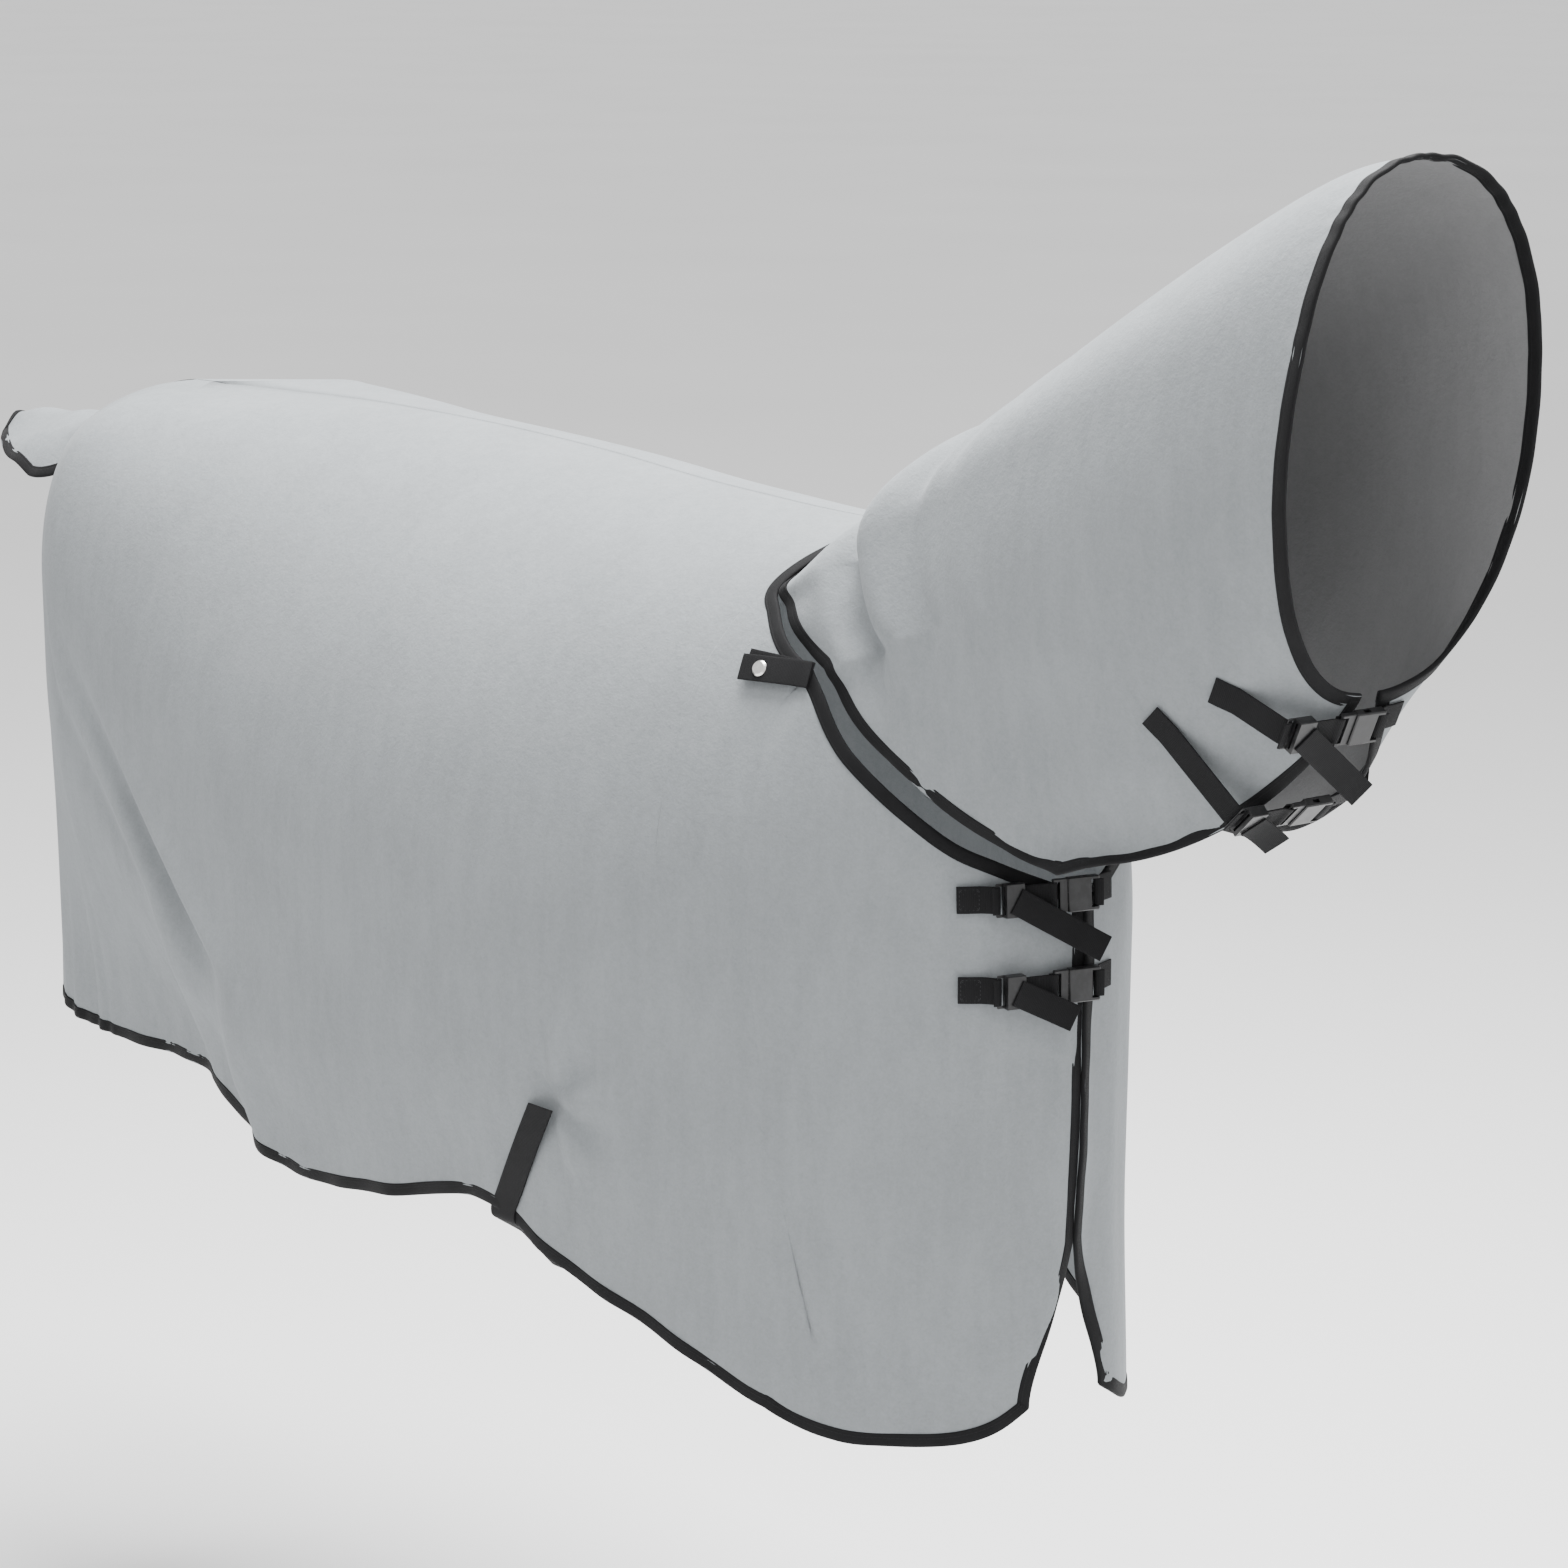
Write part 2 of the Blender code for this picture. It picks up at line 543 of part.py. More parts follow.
# --------------------------------------------------------------------- neck cover
def neck_layout(side, columns=19, rows=21):
    """Grid of one half of the neck cover, its base and throat edge pairs, its face pairs."""
    patch = Patch(neck_point, side)
    i, j = np.meshgrid(even(columns), even(rows), indexing="ij")
    first = patch.step_u(MARGIN, j, 0)
    last = 1.0 - patch.step_u(MARGIN, j, 1)
    u = first + (last - first) * i
    v = j * (1.0 - patch.step_v(MARGIN, u, 1))
    grid = patch.point(u, v)
    inner = [*grid[0, :-1], grid[0, -1], *grid[1:, -1]]
    outer = [*patch.point(0.0, v[0, :-1]), patch.point(0.0, 1.0), *patch.point(u[1:, -1], 1.0)]
    face_end = patch.point(u[-1, -1], 1.0)
    face_inner = [*grid[-1], face_end]
    face_outer = [*patch.point(1.0, v[-1]), patch.point(1.0, 1.0)]
    return grid, (np.array(inner), np.array(outer)), (np.array(face_inner), np.array(face_outer))


# --------------------------------------------------------------------- tail flap
def flap_layout(columns=15, rows=9):
    """Grid of the tail flap and its edge pairs round the sides and the tip."""
    i, j = np.meshgrid(even(columns), 2.0 * even(rows) - 1.0, indexing="ij")
    back = i * (1.0 - MARGIN / (FLAP_ROOT_X - FLAP_TIP_X))
    half = np.abs(flap_point(back, 1.0)[..., 1])
    across = j * (1.0 - MARGIN / half)
    grid = flap_point(back, across)
    inner = [*grid[:-1, 0], *grid[-1], *grid[:-1, -1][::-1]]
    outer = [*flap_point(back[:-1, 0], -1.0), flap_point(1.0, -1.0), *flap_point(1.0, across[-1, 1:-1]),
             flap_point(1.0, 1.0), *flap_point(back[:-1, 0], 1.0)[::-1]]
    return grid, (np.array(inner), np.array(outer))


# --------------------------------------------------------------------- strap hardware


class Frame:
    """A local frame: a along the strap, w across it, o outwards from the cloth."""

    def __init__(self, origin, along, outward):
        """Make the three axes square to each other."""
        self.origin = Vector(origin)
        self.along = Vector(along).normalized()
        outward = Vector(outward)
        outward -= self.along * outward.dot(self.along)
        self.outward = outward.normalized()
        self.across = self.outward.cross(self.along)

    def world(self, a, w, o):
        """World position of a local point."""
        return self.origin + self.along * a + self.across * w + self.outward * o

    def local(self, points):
        """Local a and o of world points."""
        points = np.asarray(points, float) - np.array(self.origin)
        return points @ np.array(self.along), points @ np.array(self.outward)

    def matrix(self):
        """The frame as a transform."""
        turn = Matrix((self.along, self.across, self.outward)).transposed()
        return Matrix.Translation(self.origin) @ turn.to_4x4()


def block(name, frame, a, w, o, group, finish="plastic", bevel=0.0):
    """A box in a local frame, from its extents, with optional rounded edges."""
    maker = bmesh.new()
    bmesh.ops.create_cube(maker, size=1.0)
    size = Vector((a[1] - a[0], w[1] - w[0], o[1] - o[0]))
    middle = Vector((a[1] + a[0], w[1] + w[0], o[1] + o[0])) / 2.0
    bmesh.ops.scale(maker, vec=size, verts=maker.verts)
    bmesh.ops.translate(maker, vec=middle, verts=maker.verts)
    bmesh.ops.transform(maker, matrix=frame.matrix(), verts=maker.verts)
    mesh = bpy.data.meshes.new(name)
    maker.to_mesh(mesh)
    maker.free()
    thing = add_object(name, mesh, finish, group)
    if bevel > 0.0:
        edge = thing.modifiers.new("soft edges", "BEVEL")
        edge.width = bevel
        edge.segments = 1
        edge.limit_method = "ANGLE"
    return thing


def drill(name, centre, axis, radius, depth, group, finish="plastic", sides=20, top=None):
    """A cylinder or cone along an axis, centred on a point."""
    maker = bmesh.new()
    bmesh.ops.create_cone(maker, cap_ends=True, segments=sides, radius1=radius,
                          radius2=radius if top is None else top, depth=depth)
    turn = Vector(axis).to_track_quat("Z", "Y").to_matrix().to_4x4()
    bmesh.ops.transform(maker, matrix=Matrix.Translation(centre) @ turn, verts=maker.verts)
    mesh = bpy.data.meshes.new(name)
    maker.to_mesh(mesh)
    maker.free()
    return add_object(name, mesh, finish, group)


def combine(target, tool, operation, cutters):
    """Cut or join a tool, which moves to the cutters' collection."""
    step = target.modifiers.new(tool.name, "BOOLEAN")
    step.operation = operation
    step.object = tool
    step.solver = "EXACT"
    for group in tool.users_collection:
        group.objects.unlink(tool)
    cutters.objects.link(tool)
    tool.hide_render = True
    tool.display_type = "WIRE"


def webbing(name, frame, path, width, group, angle=0.0, shifts=()):
    """Flat webbing whose middle line is a path of local a and o, with its width across.

    A list of shifts, one for each point, moves the line across its frame.
    """
    line = np.asarray(path, float)
    points = np.empty((len(line), 2, 3))
    shifts = list(shifts) + [0.0] * (len(line) - len(shifts))
    for k, half in enumerate((-0.5, 0.5)):
        for i, (a, o) in enumerate(line):
            w = half * width
            turned_a = line[0, 0] + (a - line[0, 0]) * math.cos(angle) - w * math.sin(angle)
            turned_w = (a - line[0, 0]) * math.sin(angle) + w * math.cos(angle) + shifts[i]
            points[i, k] = frame.world(turned_a, turned_w, o)
    return cloth(name, points, WEB_THICK, "webbing", group)


def arc(centre, radius, start, stop, count=7):
    """Points of an arc in the a, o plane, angles in degrees."""
    angles = np.radians(np.linspace(start, stop, count))
    return [(centre[0] + radius * math.cos(t), centre[1] + radius * math.sin(t)) for t in angles]


def seat(frame, samples, start, lift, count=4):
    """Local path of stitched webbing on sampled cloth, from a distance along it.

    Distances run along the cloth from the last sample, which is the closing edge.
    """
    samples = np.asarray(samples)[::-1]
    gaps = np.linalg.norm(np.diff(samples, axis=0), axis=1)
    run = np.concatenate([[0.0], np.cumsum(gaps)])
    a, o = frame.local(samples)
    slope_a = np.gradient(a, run)
    slope_o = np.gradient(o, run)
    norm = np.hypot(slope_a, slope_o)
    sign = np.sign(slope_a[0])
    a = a - slope_o / norm * sign * lift
    o = o + slope_a / norm * sign * lift
    at = np.linspace(start, start + SEWN_LENGTH, count)
    return list(zip(np.interp(at, run, a), np.interp(at, run, o)))


def carved(name, outer, cuts, bevel, parts, solver="EXACT"):
    """Mesh of a box with rounded edges that boxes are cut out of, in its own a, w, o axes."""
    flat = Frame((0, 0, 0), (1, 0, 0), (0, 0, 1))
    body = block(name, flat, *outer, parts, bevel=bevel)
    tools = [block(f"{name}_cut_{k}", flat, *cut, parts) for k, cut in enumerate(cuts)]
    for tool in tools:
        step = body.modifiers.new(tool.name, "BOOLEAN")
        step.operation = "DIFFERENCE"
        step.solver = solver
        step.object = tool
    bpy.context.view_layer.update()
    mesh = bpy.data.meshes.new_from_object(body.evaluated_get(bpy.context.evaluated_depsgraph_get()))
    for thing in (body, *tools):
        bpy.data.objects.remove(thing, do_unlink=True)
    return mesh


def place(name, mesh, frame, parts):
    """A copy of a carved mesh, standing in a strap's frame."""
    copy = mesh.copy()
    copy.name = name
    copy.transform(frame.matrix())
    copy.materials.clear()
    return add_object(name, copy, "plastic", parts)


def slider_mesh(width, parts):
    """Ladder slider: a tunnel for the strap and a low bar for the sewn webbing."""
    half = width / 2.0 + WALL
    slot = (-width / 2.0 - CLEAR, width / 2.0 + CLEAR)
    step = SLIDER_AT - 0.0095
    front = SLIDER_AT + SLIDER_HALF
    tunnel = WEB_THICK / 2.0 + CLEAR
    tongue_top = SLIDER_LOW + LOOP_BAR_THICK
    cuts = (
        ((TONGUE_FROM - 0.002, step), (-half - 0.001, half + 0.001), (tongue_top, 0.006)),
        ((step - 0.001, front + 0.001), slot, (-tunnel, tunnel)),
        ((TONGUE_FROM + LOOP_BAR, step), slot, (SLIDER_LOW - 0.001, tongue_top + 0.001)),
    )
    outer = ((TONGUE_FROM, front), (-half, half), (SLIDER_LOW, SLIDER_TOP))
    return carved("slider", outer, cuts, 0.0006, parts)


def male_mesh(width, parts):
    """Male half: a webbing bar, a body and two prongs with a guide between them."""
    half = width / 2.0 + WALL
    slot = width / 2.0 + CLEAR
    over = MALE_HALF_THICK + 0.001
    bar_to = MALE_FROM + LOOP_BAR
    past = PRONG_TO + 0.001
    prong = (width / 2.0 - 0.0040, width / 2.0)
    cuts = (
        ((MALE_FROM - 0.001, bar_to + 0.0005), (-slot, slot), (LOOP_BAR_THICK / 2.0, over)),
        ((MALE_FROM - 0.001, bar_to + 0.0005), (-slot, slot), (-over, -LOOP_BAR_THICK / 2.0)),
        ((bar_to, MALE_FROM + 0.0065), (-slot, slot), (-over, over)),
        ((MALE_TO, past), (-half - 0.001, half + 0.001), (PRONG_HALF_THICK, over)),
        ((MALE_TO, past), (-half - 0.001, half + 0.001), (-over, -PRONG_HALF_THICK)),
        ((MALE_TO + 0.0002, past), (prong[1], half + 0.001), (-over, over)),
        ((MALE_TO + 0.0002, past), (-half - 0.001, -prong[1]), (-over, over)),
        ((MALE_TO + 0.0004, past), (GUIDE_HALF, prong[0]), (-over, over)),
        ((MALE_TO + 0.0004, past), (-prong[0], -GUIDE_HALF), (-over, over)),
        ((PRONG_TO - 0.003, past), (-GUIDE_HALF - 0.001, GUIDE_HALF + 0.001), (-over, over)),
    )
    outer = ((MALE_FROM, PRONG_TO), (-half, half), (-MALE_HALF_THICK, MALE_HALF_THICK))
    return carved("male_buckle", outer, cuts, 0.0006, parts, solver="MANIFOLD")


def female_mesh(width, parts):
    """Female half: a hollow housing with side windows and a webbing bar."""
    half = width / 2.0 + WALL + 0.0005
    slot = width / 2.0 + CLEAR
    thick = FEMALE_HALF_THICK
    bar_from = FEMALE_TO - LOOP_BAR
    over = thick + 0.001
    pocket = width / 2.0 + 0.0015
    window = (-0.0125, -0.0055)
    cuts = (
        ((FEMALE_FROM - 0.001, CAVITY_TO), (-pocket, pocket), (-CAVITY_HALF_THICK, CAVITY_HALF_THICK)),
        (window, (-half - 0.001, -pocket + 0.001), (-0.0018, 0.0018)),
        (window, (pocket - 0.001, half + 0.001), (-0.0018, 0.0018)),
        ((bar_from - 0.0005, FEMALE_TO + 0.001), (-slot, slot), (LOOP_BAR_THICK / 2.0, over)),
        ((bar_from - 0.0005, FEMALE_TO + 0.001), (-slot, slot), (-over, -LOOP_BAR_THICK / 2.0)),
        ((0.0015, bar_from), (-slot, slot), (-over, over)),
    )
    outer = ((FEMALE_FROM, FEMALE_TO), (-half, half), (-thick, thick))
    return carved("female_buckle", outer, cuts, 0.0010, parts)


def buckle_set(width, parts):
    """The three plastic meshes for one webbing width."""
    return slider_mesh(width, parts), male_mesh(width, parts), female_mesh(width, parts)


def closing_strap(prefix, frame, width, plastics, parts):
    """The plastic pieces and the sliding strap that every closing has."""
    for word, mesh in zip(("slider", "male_buckle", "female_buckle"), plastics):
        place(f"{prefix}_{word}", mesh, frame, parts)
    strap = [(SLIDER_AT - SLIDER_HALF + 0.002, 0.0), (MALE_FROM - 0.0060, 0.0),
             (MALE_FROM - 0.0015, LOOP_RADIUS * 0.86)]
    strap += arc(MALE_BAR, LOOP_RADIUS, 90.0, -90.0) + [(MALE_FROM - 0.0035, -LOOP_RADIUS)]
    webbing(f"{prefix}_strap", frame, strap, width, parts)


def strap_assembly(prefix, frame, near, far, tail, plastics, parts):
    """One closing strap: sewn webbing, slider, strap with male buckle, female, far webbing.

    near and far give, for each end, the cloth points under it, where its stitching starts
    and how high it lies.
    tail is the loose tail's length and angle.
    """
    closing_strap(prefix, frame, WEB_WIDTH, plastics, parts)
    sewn = seat(frame, *near)[::-1]
    loop = arc(SLIDER_BAR, LOOP_RADIUS, -90.0, 90.0)
    loop += [(SLIDER_BAR[0] - 0.0060, SLIDER_BAR[1] + LOOP_RADIUS)]
    webbing(f"{prefix}_sewn_webbing", frame, sewn + loop, WEB_WIDTH, parts)
    stitched = seat(frame, *far)
    back = [(FEMALE_TO + 0.0045, LOOP_RADIUS)] + arc(FEMALE_BAR, LOOP_RADIUS, 90.0, 270.0)
    webbing(f"{prefix}_far_webbing", frame, back + stitched, WEB_WIDTH, parts)
    length, angle = tail
    path = [(SLIDER_AT, TAIL_LIFT), (SLIDER_AT + length * 0.5, TAIL_LIFT),
            (SLIDER_AT + length, TAIL_LIFT)]
    webbing(f"{prefix}_loose_tail", frame, path, WEB_WIDTH, parts, angle=math.radians(angle))


# --------------------------------------------------------------------- press-stud tabs


def tab_frame(side):
    """Frame of a press-stud tab: its origin at the front, clear of the cloth beneath."""
    spread = np.linspace(TAB_STATION, TAB_STATION + 9.0, 24)[:, None]
    rise = np.linspace(-0.022, 0.022, 5) - TAB_RISE * (spread - TAB_STATION)
    under = form_point(spread, TAB_GIRTH + rise, side)
    front, rear = Vector(under[0, 2]), Vector(under[-1, 2])
    frame = Frame(front, rear - front, form_normal(TAB_STATION + 5.5, TAB_GIRTH, side))
    along, height = frame.local(under.reshape(-1, 3))
    beneath = (along > 0.0) & (along < TAB_START + TAB_LENGTH)
    frame.origin += frame.outward * float(height[beneath].max())
    return frame


def press_tab(side, word, parts, cutters):
    """A tab of two webbing leaves closed by a press stud, lying on the shoulder."""
    frame = tab_frame(side)
    length = TAB_LENGTH
    start = TAB_START
    lower = [(start, LEAF_LOWER), (start + length * 0.5, LEAF_LOWER),
             (start + length * 0.97, LEAF_LOWER)]
    webbing(f"tab_{word}_lower_leaf", frame, lower, TAB_WIDTH, parts, angle=math.radians(5.0 * side))
    upper = [(start, LEAF_FRONT), (start + 0.008, LEAF_FRONT), (start + 0.020, LEAF_UPPER),
             (start + length * 0.6, LEAF_UPPER), (start + length, LEAF_UPPER)]
    leaf = webbing(f"tab_{word}_upper_leaf", frame, upper, TAB_WIDTH, parts)
    at = start + STUD_AT
    hole = drill(f"tab_{word}_hole", frame.world(at, 0, LEAF_UPPER), frame.outward, STUD_HOLE,
                 0.006, parts)
    combine(leaf, hole, "DIFFERENCE", cutters)

    ring_low = LEAF_LOWER + WEB_THICK / 2.0 + 0.00035
    ring_high = LEAF_UPPER - WEB_THICK / 2.0 - 0.00035
    ring = drill(f"tab_{word}_socket", frame.world(at, 0, (ring_low + ring_high) / 2.0),
                 frame.outward, SOCKET_RADIUS, ring_high - ring_low, parts, "stud", 24)
    bore = drill(f"tab_{word}_bore", frame.world(at, 0, (ring_low + ring_high) / 2.0 + 0.0004),
                 frame.outward, STUD_HOLE, ring_high - ring_low, parts, "stud", 16)
    combine(ring, bore, "DIFFERENCE", cutters)

    cap_low = LEAF_UPPER + WEB_THICK / 2.0 + 0.00035
    radius = STUD_DIAMETER / 2.0
    cap = drill(f"tab_{word}_stud", frame.world(at, 0, cap_low + 0.0009), frame.outward, radius,
                0.0018, parts, "stud", 28, top=radius * 0.80)
    post_low = ring_low + 0.0010
    post = drill(f"tab_{word}_post", frame.world(at, 0, (post_low + cap_low + 0.0006) / 2.0),
                 frame.outward, STUD_POST, cap_low + 0.0006 - post_low, parts, "stud", 16)
    combine(cap, post, "UNION", cutters)


# --------------------------------------------------------------------- strap places
# Each row: name, place, loose tail's angle and length, lift of the far webbing.


def girth_at(station, height):
    """Girth share at which a section of the form reaches a height."""
    share = np.linspace(0.2, 0.98, 400)
    z = form_point(np.full(400, float(station)), share, -1)[:, 2]
    return float(np.interp(-height, -z, share))


def chest_frame(height):
    """Frame of a chest strap: its origin lies over the two front edges."""
    girth = girth_at(1.0, height)
    edge = form_point(0.0, girth, -1)
    before = form_point(14.0, girth_at(14.0, height), -1)
    below = form_point(0.0, girth + 0.03, -1)
    along = edge - before
    outward = np.cross(edge - below, along)
    outward *= np.sign(outward[0])
    outward /= np.linalg.norm(outward)
    return Frame(edge + outward * STRAP_LIFT, along, outward)


def chest_samples(height, side):
    """Cloth points under a chest strap on one side, ending at the closing edge."""
    return np.array([form_point(s, girth_at(s, height), side) for s in np.linspace(60.0, 0.0, 40)])


def chin_frame(ahead):
    """Frame of a chin strap: its origin lies between the two throat edges."""
    right = neck_point(ahead, 1.0, -1)
    left = neck_point(ahead, 1.0, 1)
    towards_face = neck_point(ahead + 0.05, 1.0, -1) - neck_point(ahead - 0.05, 1.0, -1)
    outward = np.cross(towards_face, left - right)
    outward *= -np.sign(outward[2])
    outward /= np.linalg.norm(outward)
    return Frame((right + left) / 2.0 + outward * CHIN_LIFT, left - right, outward)

def chin_samples(ahead, side, frame):
    """Cloth points under a chin strap on one side, ending at the throat edge."""
    around = np.linspace(0.45, 1.0, 60)
    share = np.full(60, ahead)
    across = np.array(frame.across)
    for _ in range(6):
        off = (neck_point(share, around, side) - np.array(frame.origin)) @ across
        step = neck_point(share + 0.01, around, side) - neck_point(share - 0.01, around, side)
        share = np.clip(share - off / (step @ across / 0.02), 0.02, 0.98)
    return neck_point(share, around, side)


def belly_frame():
    """Frame of the belly strap's straight part, with its outside facing the ground."""
    top = form_point(SURCINGLE_STATION, 0.9, -1)
    return Frame((top[0], 0.0, BELLY_Z), (0, 1, 0), (0, 0, -1))


def belly_strap(plastics, parts):
    """Belly surcingle: webbing down each side, meeting in a buckle under the belly."""
    frame = belly_frame()

    def drop_line(side):
        """Middle line of the webbing from its stitching down to the belly, and its shifts."""
        girths = np.linspace(girth_at(SURCINGLE_TOP_STATION, SURCINGLE_Z), 0.995, 9)
        stations = np.linspace(SURCINGLE_TOP_STATION, SURCINGLE_STATION, 9)
        skin = form_point(stations, girths, side)
        line = skin + form_normal(stations, girths, side) * SURCINGLE_LIFT
        a, o = frame.local(line)
        shifts = list((line - np.array(frame.origin)) @ np.array(frame.across))
        turn = [(a[-1], o[-1] + 0.010), (side * (BELLY_REACH + 0.075), o[-1] + 0.034),
                (side * (BELLY_REACH + 0.035), -0.009)]
        shifts += [shifts[-1], shifts[-1] / 2.0, 0.0]
        return list(zip(a, o)) + turn, shifts

    closing_strap("belly", frame, SURCINGLE_WIDTH, plastics, parts)
    right, shifts = drop_line(-1)
    right += [(-BELLY_REACH, SLIDER_BAR[1] - LOOP_RADIUS)]
    right += arc(SLIDER_BAR, LOOP_RADIUS, -90.0, 90.0)
    right += [(SLIDER_BAR[0] - 0.0060, SLIDER_BAR[1] + LOOP_RADIUS)]
    webbing("belly_right_webbing", frame, right, SURCINGLE_WIDTH, parts, shifts=shifts)
    left = [(FEMALE_TO + 0.0045, LOOP_RADIUS)] + arc(FEMALE_BAR, LOOP_RADIUS, 90.0, 270.0)
    left += [(BELLY_REACH, -LOOP_RADIUS)]
    down, shifts = drop_line(1)
    shifts = [0.0] * len(left) + shifts[::-1]
    webbing("belly_left_webbing", frame, left + down[::-1], SURCINGLE_WIDTH, parts, shifts=shifts)

def joint(name, point, nodes, parts):
    """An empty on a joint's axis that carries the nodes which move there."""
    pivot = bpy.data.objects.new(name, None)
    parts.objects.link(pivot)
    pivot.location = point
    pivot.empty_display_size = 0.02
    for node in nodes:
        thing = bpy.data.objects[node]
        thing.parent = pivot
        thing.matrix_parent_inverse = Matrix.Translation(-Vector(point))


def hang_moving_pieces(parts):
    """Parent every moving piece to an empty on its joint's axis."""
    joint("tail_flap_joint", (FLAP_ROOT_X, 0.0, FLAP_ROOT_Z), ("tail_flap", "tail_flap_tape"), parts)
    chin = [f"{row[0]}_{word}" for row in CHIN_STRAPS
            for word in ("slider", "sewn_webbing", "far_webbing", "female_buckle")]
    cover = [f"{word}_{side}" for side in ("right", "left")
             for word in ("neck_panel", "neck_edge_tape", "face_tape")]
    joint("neck_cover_joint", NECK_HOLE_CENTRE, cover + chin, parts)
    frames = [(row[0], chest_frame(row[1])) for row in CHEST_STRAPS]
    frames += [(row[0], chin_frame(row[1])) for row in CHIN_STRAPS]
    for name, frame in frames:
        joint(f"{name}_strap_joint", frame.origin, (f"{name}_strap", f"{name}_male_buckle"), parts)
        joint(f"{name}_tail_joint", frame.world(SLIDER_AT, 0.0, TAIL_LIFT),
              (f"{name}_loose_tail",), parts)
    joint("belly_strap_joint", belly_frame().origin, ("belly_strap", "belly_male_buckle"), parts)
    for side, word in ((-1, "right"), (1, "left")):
        joint(f"tab_{word}_joint", tab_frame(side).world(TAB_START, 0.0, LEAF_FRONT),
              (f"tab_{word}_upper_leaf", f"tab_{word}_stud"), parts)


def build():
    """Build every sub-part."""
    clear_scene()
    parts = collection("combo_horse_rug")
    cutters = collection("cutters")
    for side, word in ((-1, "right"), (1, "left")):
        grid, edge, neck = body_layout(side)
        cloth(f"body_panel_{word}", grid, CLOTH, "fleece", parts)
        gap = np.full((len(edge[0]), 1), SEW_GAP)
        gap[-2:] += NOTCH_EXTRA_GAP
        cloth(f"body_edge_tape_{word}", strip(*edge, side, gap), BINDING_THICK, "binding", parts)
        cloth(f"neckline_tape_{word}", strip(*neck, side), BINDING_THICK, "binding", parts)
        grid, edge, face = neck_layout(side)
        cloth(f"neck_panel_{word}", grid, CLOTH, "fleece", parts)
        cloth(f"neck_edge_tape_{word}", strip(*edge, side, NECK_SEW_GAP), BINDING_THICK, "binding", parts)
        cloth(f"face_tape_{word}", strip(*face, side), BINDING_THICK, "binding", parts)
        press_tab(side, word, parts, cutters)
    grid, edge = flap_layout()
    cloth("tail_flap", grid, CLOTH, "fleece", parts)
    cloth("tail_flap_tape", strip(*edge), BINDING_THICK, "binding", parts)
    plastics = buckle_set(WEB_WIDTH, parts)
    for name, height, angle, length, lift in CHEST_STRAPS:
        strap_assembly(name, chest_frame(height),
                       (chest_samples(height, -1), CHEST_SEWN_AT, SEWN_LIFT),
                       (chest_samples(height, 1), CHEST_FAR_AT, lift), (length, angle),
                       plastics, parts)
    for name, ahead, angle, length, lift in CHIN_STRAPS:
        frame = chin_frame(ahead)
        strap_assembly(name, frame, (chin_samples(ahead, -1, frame), CHIN_SEWN_AT, CHIN_SEWN_LIFT),
                       (chin_samples(ahead, 1, frame), CHIN_FAR_AT, lift), (length, angle),
                       plastics, parts)
    belly_strap(buckle_set(SURCINGLE_WIDTH, parts), parts)
    hang_moving_pieces(parts)


build()
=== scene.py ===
"""Horse rug with a neck cover: brushed fleece, woven binding, webbing straps and buckles.

+X points to the horse's head, +Y to its left and +Z up. The origin is on the spine at the
withers. Lengths are in metres and angles in degrees unless a name says otherwise.
"""

import logging
import math
from dataclasses import dataclass, field
from enum import Enum
from typing import Callable, Sequence

import bpy
import numpy as np
from mathutils import Matrix, Vector


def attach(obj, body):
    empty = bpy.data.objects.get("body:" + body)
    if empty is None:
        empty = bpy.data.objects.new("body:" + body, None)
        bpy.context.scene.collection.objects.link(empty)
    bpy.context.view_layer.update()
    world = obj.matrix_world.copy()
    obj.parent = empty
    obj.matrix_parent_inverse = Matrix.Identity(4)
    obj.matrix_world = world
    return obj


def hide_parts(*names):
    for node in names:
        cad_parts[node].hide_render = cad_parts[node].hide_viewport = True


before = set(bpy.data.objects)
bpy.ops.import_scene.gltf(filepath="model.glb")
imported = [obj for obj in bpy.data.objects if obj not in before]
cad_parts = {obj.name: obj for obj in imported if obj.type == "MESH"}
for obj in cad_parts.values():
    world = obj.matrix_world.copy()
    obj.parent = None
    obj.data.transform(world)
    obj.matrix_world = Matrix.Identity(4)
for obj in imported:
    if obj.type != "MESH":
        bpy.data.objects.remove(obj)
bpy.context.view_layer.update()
LOG = logging.getLogger("horse_rug")

Points = np.ndarray
CLOTH_THICK = 0.0030
WEB_THICK = 0.0015
WEB_WIDTH = 0.025
BELLY_WEB_WIDTH = 0.038


class Side(Enum):
    """Which half of the rug a piece belongs to; the value is the sign of y."""

    RIGHT = -1
    LEFT = 1

    @property
    def word(self) -> str:
        """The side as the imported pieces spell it."""
        return self.name.lower()


# ------------------------------------------------------------------ small mathematics
def ease(value: Points) -> Points:
    """Smooth step: 3t^2 - 2t^3 of the value held between 0 and 1."""
    value = np.clip(value, 0.0, 1.0)
    return value * value * (3.0 - 2.0 * value)


def bell(value: Points, width: float) -> Points:
    """Bell curve exp(-(value / width)^2)."""
    return np.exp(-((value / width) ** 2))


def ridges(value: Points, rows: Sequence[tuple[float, float, float]]) -> Points:
    """Sum of bell-shaped ridges across a fold.

    Args:
        value: Distance across the fold.
        rows: (height, place, width) of each ridge; a negative height is a hollow.

    Returns:
        Height at each value.
    """
    return sum(height * bell(value - place, width) for height, place, width in rows)


